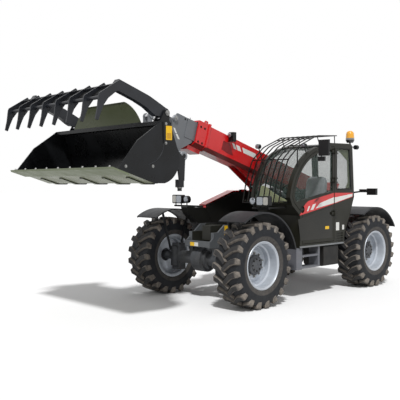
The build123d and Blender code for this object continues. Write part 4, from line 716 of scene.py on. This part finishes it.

# ---------------------------------------------------------------- bucket and cutting edge
# Folded plate bucket in worn black, its spill guard olive grey, its underside painted olive grey as a painted
# reflection of the ground, a painted highlight on the faces above its lip and painted shade in a groove down each
# side; the bare steel edge is bolted on, with bright bolt heads inside its lip.
BUCKET = finish("bucket_black", (21, 22, 23), 0.24, (32, 34, 37), mottle=0.5, scale=3.0, dusty=0.0, grain=160,
                bump=0.12, depth=0.001, shine=0.24)
# downward faces low on the bucket in olive grey: a painted reflection of the ground
over(BUCKET, both(BUCKET, band(BUCKET, 2, -0.55, -0.8, "Normal"), band(BUCKET, 2, 2.05, 1.98)), (104, 110, 82))
between = both(BUCKET, band(BUCKET, 1, HOME[1] + 0.735, HOME[1] + 0.725),
               band(BUCKET, 1, HOME[1] - 0.735, HOME[1] - 0.725))
over(BUCKET, both(BUCKET, between, band(BUCKET, 2, 2.441, 2.447)), (66, 71, 50))
# upward faces above the lip in a light blue-grey: a painted highlight
over(BUCKET, both(BUCKET, band(BUCKET, 2, 0.80, 0.95, "Normal"), band(BUCKET, 2, 2.425, 2.432)), (122, 128, 140))
paint(BUCKET, "bucket")
CLAW = finish("grapple_black", (27, 29, 33), 0.28, (40, 43, 49), mottle=0.6, scale=5.0, dusty=0.0, grain=160,
              bump=0.15, depth=0.001, shine=0.4)
# a deeper black than the grapple's own: painted shade, on the grapple's back plate and in the bucket's side grooves
SHADED_BLACK = finish("shaded_black", (14, 15, 16), 0.45, (10, 11, 12), dusty=0.0, shine=0.12)
EDGE = finish("edge_steel", (114, 122, 96), 0.42, (104, 111, 87), mottle=0.5, scale=7, metal=0.2, dusty=0.0, grain=90,
              bump=0.3, depth=0.0015)
paint(EDGE, "cutting_edge")
slope = np.array([0.510, 0.156]) / np.hypot(0.510, 0.156)
inside = np.array([2.460, 1.868]) + 0.050 * slope + 0.0002 * np.array([-slope[1], slope[0]])
bolts("edge_bolts", [(inside[0], y, inside[1]) for y in np.linspace(-1.05, 1.05, 9)], (-slope[1], 0, slope[0]), 0.012,
      0.024, "tool_carriage")
BUCKET_FACE = 1.1402
for side, hand in SIDES:
    face = side * BUCKET_FACE
    label(f"bucket_{hand}_label", rounded_box(1.680, 1.772, 2.215, 2.378, 0.006), 1, face, side, "tool_carriage",
          YELLOW)
    label(f"bucket_{hand}_label_panel", rounded_box(1.692, 1.760, 2.228, 2.296, 0.004), 1, face + side * 0.0012, side,
          "tool_carriage", YELLOW_DARK, 0.0008)
    bend = np.array([(1.810, face, 2.170), (1.813, face, 2.102), (1.851, face, 2.034), (1.917, face, 1.971),
                     (2.036, face, 1.921)])
    p, q = tube(eased(bend + HOME, 0.04), 0.0045, (0, 1, 0), 6)
    add(f"bucket_{hand}_weld", p, q, "tool_carriage", CLAW, "black_paint")
    # a dark strip down each side plate: the painted shade of a groove
    label(f"bucket_{hand}_groove", [(1.836, 2.420), (1.808, 2.420), (1.800, 2.176), (1.820, 2.174)], 1, face, side,
          "tool_carriage", SHADED_BLACK)
    corners = [(2.352, face, 1.898), (1.967, face, 1.905), (1.771, face, 2.177), (1.769, face, 2.400)]
    bolts(f"bucket_{hand}_side_bolts", corners, (0, side, 0), 0.011, 0.010, "tool_carriage")

# ---------------------------------------------------------------- grapple
# Top clamp of cut black plate: two bent arms joined by a bar with eight curved tines, and a thin
# back plate welded across behind them, painted a deeper black than the rest as painted shade.
paint(CLAW, "grapple")
for side, hand in SIDES:
    bolts(f"grapple_{hand}_pin_bolt", [[1.610, side * 0.984, 2.550]], (0, side, 0), 0.020, 0.012, "tool_carriage")
outer_face = eased([(2.330, 2.834), (2.400, 2.788), (2.475, 2.732), (2.520, 2.690)], 0.03)
inner_face = outer_face - np.array([0.007, 0.010])
p, q = sheet_plate(np.concatenate([outer_face, inner_face[::-1]]), 1, -1.015, 1.015)
add("grapple_back_plate", p, q, "grab", SHADED_BLACK, "black_paint")

# ---------------------------------------------------------------- cab shell
# Welded tube cab in olive black, with a red and white flash painted along its side and door, a
# bright sill strip, rubber-sealed tinted panes and black bars over the windscreen and roof.
CAB = finish("cab_olive_black", (34, 34, 27), 0.30, (26, 26, 21), scale=3, dust=(64, 62, 48), dusty=0.25, top=1.6,
             shine=0.22)
paint(CAB, "cab_frame", "door")
paint(BLACK, "windscreen_guard")
STEP = finish("step_blue_grey", (98, 102, 112), 0.45, (80, 84, 92), scale=9, dusty=0.3)
paint(STEP, "cab_step")
paint(PLASTIC, "fuel_tank")
PAINT, OVERPAINT = 1.0202, 1.0214     # places of the first and the second layer on the cab's side
# the door's flash leaves a round bite free for the handle's recess
bite = [(-0.985 + 0.053 * math.cos(t), 1.330 + 0.053 * math.sin(t)) for t in np.radians(np.linspace(-52.7, -233.2, 14))]
DARK_PANE = finish("dark_pane", (22, 23, 18), 0.10, (16, 17, 13), scale=3, dusty=0.1, shine=0.35)
for name, outline, face, body, mat, lift in (
        ("door_flash", [(-0.918, 1.243)] + bite + [(-1.055, 1.409), (-1.130, 1.453), (-1.465, 1.514), (-1.788, 1.568),
                                                   (-1.788, 1.398), (-1.336, 1.315)], PAINT, "cab_door", RED, 0.0012),
        ("cab_flash", [(-1.812, 1.568), (-2.318, 1.564), (-2.312, 1.500), (-1.812, 1.402)], PAINT, "machine", RED,
         0.0012),
        ("cab_flash_band", [(-1.812, 1.496), (-2.306, 1.550), (-2.304, 1.508), (-1.812, 1.412)], OVERPAINT, "machine",
         WHITE, 0.0008),
        ("door_flash_band", [(-1.308, 1.335), (-1.420, 1.417), (-1.788, 1.501), (-1.788, 1.411)], OVERPAINT, "cab_door",
         WHITE, 0.0008),
        ("door_flash_slash_1", [(-1.092, 1.300), (-1.132, 1.372), (-1.172, 1.380), (-1.130, 1.304)], OVERPAINT,
         "cab_door", WHITE, 0.0008),
        ("door_flash_slash_2", [(-1.180, 1.314), (-1.240, 1.398), (-1.318, 1.412), (-1.250, 1.322)], OVERPAINT,
         "cab_door", WHITE, 0.0008),
        ("door_flash_corner", [(-1.250, 1.425), (-1.340, 1.485), (-1.420, 1.498), (-1.330, 1.440)], OVERPAINT,
         "cab_door", DARK_RED, 0.0008),
        ("door_low_pane", [(-0.880, 1.185), (-1.330, 1.285), (-1.735, 1.352), (-1.735, 0.872), (-0.940, 0.872)], PAINT,
         "cab_door", DARK_PANE, 0.0015),
        ("cab_plate", rounded_box(-1.936, -1.850, 0.979, 1.105, 0.005), PAINT, "machine", WHITE, 0.0012),
        ("cab_plate_2", rounded_box(-2.075, -2.020, 0.985, 1.060, 0.005), PAINT, "machine", WHITE, 0.0012),
        ("door_tag", rounded_box(-1.659, -1.560, 1.012, 1.058, 0.004), 1.0215, "cab_door", YELLOW, 0.0012)):
    label(name, outline, 1, face, 1, body, mat, lift)
LINING = finish("pillar_lining", (112, 114, 84), 0.6, (98, 100, 72), scale=8, dusty=0.0, grain=300, bump=0.2)
label("quarter_lining", [(-1.868, 2.262), (-2.218, 2.262), (-2.276, 1.628), (-2.150, 1.628), (-2.219, 1.736),
                         (-2.200, 2.080), (-1.960, 2.225), (-1.868, 2.225)], 1, 0.985, 1, "machine", LINING, 0.006)
SILL = finish("sill_strip", (128, 132, 136), 0.35, (104, 108, 112), scale=12, metal=0.4, dusty=0.35)
label("cab_sill", [(-2.06, 0.764), (-0.93, 0.764), (-0.915, 0.788), (-2.065, 0.788)], 1, PAINT, 1, "machine", SILL,
      0.004)
SEAL = finish("rubber_seal", (20, 20, 21), 0.8, (15, 15, 16), dusty=0.15, grain=500, bump=0.2)
GLASS = bpy.data.materials.new("clear_glass")
GLASS.use_nodes = True
glass = GLASS.node_tree.nodes["Principled BSDF"]
film = node(GLASS.node_tree, "TexNoise", [(node(GLASS.node_tree, "TexCoord").outputs["Object"], 0)], _2=1.6, _3=3.0)
haze = node(GLASS.node_tree, "MapRange", [(film.outputs[0], 0)], _1=0.35, _2=0.7, _3=0.20, _4=0.26)
GLASS.node_tree.links.new(haze.outputs[0], glass.inputs["Alpha"])
glass.inputs["Base Color"].default_value = (*tint(76, 92, 86), 1)
glass.inputs["Specular IOR Level"].default_value = 0.4
glass.inputs["Roughness"].default_value = 0.04
paint(GLASS, "cab_glass", "door_glass")


def seal_path(outline, y, r=0.03):
    """Line round a pane at one Y, from the middle of its first side and back to it."""
    corners = np.array([(x, y, z) for x, z in outline])
    start = [(corners[0] + corners[1]) / 2]
    return eased(np.concatenate([start, corners[1:], corners[:1], start]), r) + HOME


quarter = [(-1.868, 1.628), (-1.868, 2.262), (-2.218, 2.262), (-2.276, 1.628)]
p, q = tube(seal_path(quarter, 1.012), 0.009, (0, 1, 0), 8)
add("quarter_seal", p, q, "machine", SEAL, "black_paint")

# ---------------------------------------------------------------- seat
# Sprung driver's seat: a steel base with a rubber gaiter, two foam cushions under grey cloth.
CLOTH = finish("seat_cloth", (182, 186, 190), 0.9, (158, 162, 166), mottle=0.5, scale=20, dusty=0.0, grain=900,
               bump=0.5, depth=0.0012, sheen=0.3)
PRESSURE = 4.0
SETTLE_FRAMES = 20


def vertex_places(mesh):
    """Places of a mesh's vertices, one row each."""
    places = np.empty(len(mesh.vertices) * 3)
    mesh.vertices.foreach_get("co", places)
    return places.reshape(-1, 3)


def cushion(name, centre, size, lean, crown, cap):
    """Rounded block, |x|^n + |y|^n + |z|^n = 1 with n = 5, leant over, then blown up as cloth on foam.

    Crown is the rise of its top, cap the most that the cloth may swell; two sewn channels run along it.
    """
    u, v = np.meshgrid(np.linspace(0, 2 * np.pi, 64, endpoint=False), np.linspace(-np.pi / 2, np.pi / 2, 33),
                       indexing="ij")
    d = np.stack([np.cos(v) * np.cos(u), np.cos(v) * np.sin(u), np.sin(v)], -1)
    d /= (np.abs(d) ** 5).sum(-1, keepdims=True) ** 0.2
    p = d * np.array(size) / 2
    p[..., 2] += crown * (1 - (2 * p[..., 0] / size[0]) ** 2) * (1 - (2 * p[..., 1] / size[1]) ** 2) * (p[..., 2] > 0)
    c, s = math.cos(lean), math.sin(lean)
    p = np.stack([c * p[..., 0] + s * p[..., 2], p[..., 1], -s * p[..., 0] + c * p[..., 2]], -1)
    piece = add(name, p.reshape(-1, 3) + HOME + centre, [grid_faces(64, 33, True)], "machine", CLOTH, "seat_cloth", 180)
    even = piece.modifiers.new("even_out", "REMESH")
    even.mode, even.voxel_size, even.use_smooth_shade = "VOXEL", 0.009 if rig.quick() else 0.006, True
    bpy.context.view_layer.objects.active = piece
    bpy.ops.object.modifier_apply(modifier="even_out")
    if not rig.quick():
        rest = vertex_places(piece.data)
        cloth = piece.modifiers.new("foam", "CLOTH")
        cloth.settings.use_pressure = True
        cloth.settings.uniform_pressure_force = PRESSURE
        cloth.settings.effector_weights.gravity = 0.0
        scene = bpy.context.scene
        for step in range(1, SETTLE_FRAMES + 1):
            scene.frame_set(step)
        bpy.ops.object.modifier_apply(modifier="foam")
        scene.frame_set(1)
        move = vertex_places(piece.data) - rest
        reach = np.linalg.norm(move, axis=1, keepdims=True)
        move *= np.minimum(1, cap / np.maximum(reach, 1e-9))
        piece.data.vertices.foreach_set("co", (rest + move).ravel())
    places = vertex_places(piece.data)
    away = places - (HOME + centre)
    channel = 0.007 * np.exp(-((np.abs(away[:, 1]) - 0.30 * size[1]) / 0.006) ** 2)
    places -= away / np.linalg.norm(away, axis=1, keepdims=True) * channel[:, None]
    piece.data.vertices.foreach_set("co", places.ravel())
    piece.data.shade_smooth()
    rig.padded(piece, fill=0.7)
    return piece


seat_pad = cushion("seat_cushion", (-1.610, 0.660, 1.212), (0.475, 0.435, 0.105), 0.05, 0.015, 0.012)
back_pad = cushion("seat_back", (-1.815, 0.660, 1.560), (0.100, 0.395, 0.550), -0.135, 0.0, 0.012)
plan = soft_corners([(-0.17, -0.17), (0.17, -0.17), (0.17, 0.17), (-0.17, 0.17)], 3)
# folds of the gaiter: height, width as a share of the plan
folds = np.array([(0.812, 1.05), (0.815, 1.10), (0.86, 1.10), (0.90, 0.98), (0.93, 1.04), (0.96, 0.96), (0.99, 1.04),
                  (1.02, 0.96), (1.05, 1.04), (1.08, 0.98), (1.12, 1.10), (1.148, 1.10)])
z, wide = folds[:, :1], folds[:, 1:]
n = len(plan)
p = np.stack([plan[:, 0] * wide - 1.62, plan[:, 1] * wide + 0.66, np.repeat(z, n, 1)], -1).reshape(-1, 3) + HOME
ends = [[list(range(n))], [list(range(len(p) - n, len(p)))]]
base = add("seat_base", p, [grid_faces(len(folds), n, False, True)] + ends, "machine", SEAL, "plastic")
for piece in (seat_pad, back_pad, base):
    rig.replaces(piece, "seat")
paint(PLASTIC, "console")
TRIM = finish("pale_trim", (234, 240, 186), 0.6, (216, 222, 168), scale=12, dusty=0.0, grain=300, bump=0.2)
cover = soft_corners([(0.335, 1.435), (0.335, 1.665), (0.430, 1.690), (0.560, 1.600), (0.700, 1.530), (0.860, 1.465),
                      (0.860, 1.435)], 2)
p, q = sheet_plate(cover, 0, -0.825, -0.805)
add("dash_trim", p, q, "machine", TRIM, "plastic")

# ---------------------------------------------------------------- engine side
# Black welded engine housing with pressed cooling slats, and over it a red hood with its latch.
paint(BLACK, "engine_housing")
paint(RED, "hood")
paint(CAST, "engine")
for k in range(7):
    z = 0.90 + 0.036 * k
    slat = soft_corners([(-1.0600, z), (-1.0600, z + 0.022), (-1.0640, z + 0.022), (-1.0760, z + 0.003),
                         (-1.0760, z)], 1)
    p, q = sheet_plate(slat, 0, -2.060, -1.640)
    add(f"housing_slat_{k + 1}", p, q, "machine", PLASTIC, "black_paint")
label("hood_latch_plate", rounded_box(-1.650, -1.550, 1.222, 1.272, 0.010), 1, -1.0602, -1, "engine_hood", PLASTIC,
      0.003)
label("hood_latch", rounded_box(-1.628, -1.572, 1.236, 1.258, 0.006), 1, -1.0630, -1, "engine_hood", BRIGHT, 0.007,
      "worn_steel")

# ---------------------------------------------------------------- lamps, mirror, beacon
# Moulded black lamp bodies with bright lenses pressed in, red and amber ones at the rear,
# silvered mirror glass, and an amber beacon on a grey ring and a black foot.
paint(PLASTIC, "work_lamps", "headlights", "mirror", "rear_lights")
AMBER = finish("amber_lens", (236, 168, 30), 0.18, (222, 150, 22), scale=30, dusty=0.0, coat=0.6, grain=60, bump=0.1)
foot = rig.box("beacon")[0][2]
over(AMBER, band(AMBER, 2, foot + 0.132, foot + 0.126), (120, 122, 124))
over(AMBER, band(AMBER, 2, foot + 0.104, foot + 0.098), (26, 27, 29))
paint(AMBER, "beacon")
LENS = finish("lamp_lens", (158, 163, 170), 0.12, (120, 124, 130), scale=60, metal=0.7, dusty=0.0, coat=0.8, grain=90,
              bump=0.3, depth=0.001)
SIGNAL = finish("signal_lens", (178, 176, 170), 0.15, (150, 148, 144), scale=40, dusty=0.0, coat=0.6, metal=0.4)
TAIL = finish("tail_lens", (160, 14, 16), 0.2, (134, 10, 12), scale=40, dusty=0.0, coat=0.6)
AMBER_FLAT = finish("signal_amber", (214, 120, 22), 0.2, (190, 100, 18), scale=40, dusty=0.0, coat=0.6)
MIRROR = finish("mirror_silver", (190, 194, 198), 0.04, (176, 180, 184), scale=30, metal=1.0, dusty=0.0, spread=0.03,
                bump=0.01)


def dome(centre, axis, r, rise, steps=32):
    """Shallow lens: radius r cos k, height rise sin k over its rim, closed by a flat back."""
    axis, first, second = square_axes(axis)
    k = np.linspace(0, np.pi / 2 * 0.96, 7)[:, None, None]
    a = np.linspace(0, 2 * np.pi, steps, endpoint=False)[None, :, None]
    p = r * np.cos(k) * (np.cos(a) * first + np.sin(a) * second) + rise * np.sin(k) * axis
    p = p.reshape(-1, 3) + np.array(centre) + HOME
    return p, [grid_faces(7, steps, False, True), [list(range(steps))], [list(range(6 * steps, 7 * steps))]]


def lens(name, centre, way, r, rise, mat, body="machine", slot="plastic"):
    """Round lens that looks forward (way 1) or back (way -1)."""
    p, q = dome(centre, (way, 0, 0), r, rise)
    add(name, p, q, body, mat, slot, 50)


def plate_across(name, y, z, r, start, end, mat, slot):
    """Plate with round corners that looks along X, between two places in Y and two in Z."""
    p, q = sheet_plate(rounded_box(*sorted(y), *z, r), 0, start, end)
    add(name, p, q, "machine", mat, slot)


for side, hand in SIDES:
    lens(f"headlight_{hand}_round", (-0.2372, side * 0.700, 1.462), 1, 0.050, 0.010, LENS)
    plate_across(f"headlight_{hand}_square", (side * 0.795, side * 0.905), (1.410, 1.520), 0.02, -0.2252, -0.219, LENS,
                 "plastic")
    plate_across(f"signal_{hand}", (side * 0.915, side * 0.998), (1.410, 1.520), 0.02, -0.2252, -0.219, SIGNAL, "amber")
    lens(f"tail_lamp_{hand}", (-3.3195, side * 0.760, 1.572), -1, 0.044, 0.008, TAIL, slot="red_paint")
    plate_across(f"tail_signal_{hand}", (side * 0.818, side * 0.868), (1.530, 1.616), 0.01, -3.324, -3.3195, AMBER_FLAT,
                 "amber")
work_lamps = (((-1.1142, 0.926, 2.278), 1), ((-0.7512, 0.339, 2.276), 1), ((-2.4798, 0.995, 2.303), -1))
for k, (centre, way) in enumerate(work_lamps):
    lens(f"work_lamp_lens_{k + 1}", centre, way, 0.031, 0.006, LENS)
lens("boom_lamp_lens", (-0.2752, 0.212, 2.430), 1, 0.032, 0.006, LENS, "boom")
plate_across("mirror_glass", (1.312, 1.458), (2.122, 2.328), 0.012, -1.0273, -1.0248, MIRROR, "chromed")
plate_across("wide_mirror_glass", (1.300, 1.390), (2.044, 2.091), 0.012, -1.0223, -1.0198, MIRROR, "chromed")

# ---------------------------------------------------------------- floor, light and camera
# Pale studio floor under an even sky, with one large soft sun behind the camera's shoulder.
bpy.ops.mesh.primitive_plane_add(size=200, location=(0, 0, 0))
floor = bpy.context.object
floor.name = "floor"
PALE = bpy.data.materials.new("floor_pale")
PALE.use_nodes = True
surface = PALE.node_tree.nodes["Principled BSDF"]
surface.inputs["Roughness"].default_value = 0.95
surface.inputs["Specular IOR Level"].default_value = 0.0
rays = node(PALE.node_tree, "LightPath").outputs
tone = node(PALE.node_tree, "MixRGB", [(rays["Is Camera Ray"], 0)], _1=(0.80, 0.80, 0.80, 1), _2=(1.0, 1.0, 1.0, 1))
PALE.node_tree.links.new(tone.outputs[0], surface.inputs["Base Color"])
floor.data.materials.append(PALE)
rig.stage(floor)
world = bpy.data.worlds.new("studio")
world.use_nodes = True
sky = world.node_tree
sky.nodes["Background"].inputs[0].default_value = (1, 1, 1, 1)
rays = node(sky, "LightPath").outputs
seen = node(sky, "Math", [(rays["Is Camera Ray"], 0), (rays["Is Glossy Ray"], 1)], operation="MAXIMUM")
seen = node(sky, "Math", [(seen.outputs[0], 0), (rays["Is Transmission Ray"], 1)], operation="MAXIMUM")
level = node(sky, "MapRange", [(seen.outputs[0], 0)], _3=0.45, _4=1.0)
sky.links.new(level.outputs[0], sky.nodes["Background"].inputs[1])
bpy.context.scene.world = world
sun = bpy.data.objects.new("sun", bpy.data.lights.new("sun", "SUN"))
sun.data.energy = 2.5
sun.data.angle = math.radians(5)
sun.rotation_euler = (math.radians(38), 0, math.radians(136.5))
bpy.context.collection.objects.link(sun)
bpy.context.scene.view_settings.view_transform = "Standard"

camera = bpy.data.objects.new("camera", bpy.data.cameras.new("camera"))
camera.location = (HOME[0] + 6.645, HOME[1] + 6.754, 1.699)
camera.rotation_euler = (math.radians(88.61), 0, math.radians(136.01))
camera.data.lens = 57.69
camera.data.sensor_width = 36
bpy.context.collection.objects.link(camera)
bpy.context.scene.camera = camera

low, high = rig.bounds()
with open("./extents.json") as f:
    size = json.load(f)
size["dressed"] = [list(low), list(high)]
with open("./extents.json", "w") as f:
    json.dump(size, f)
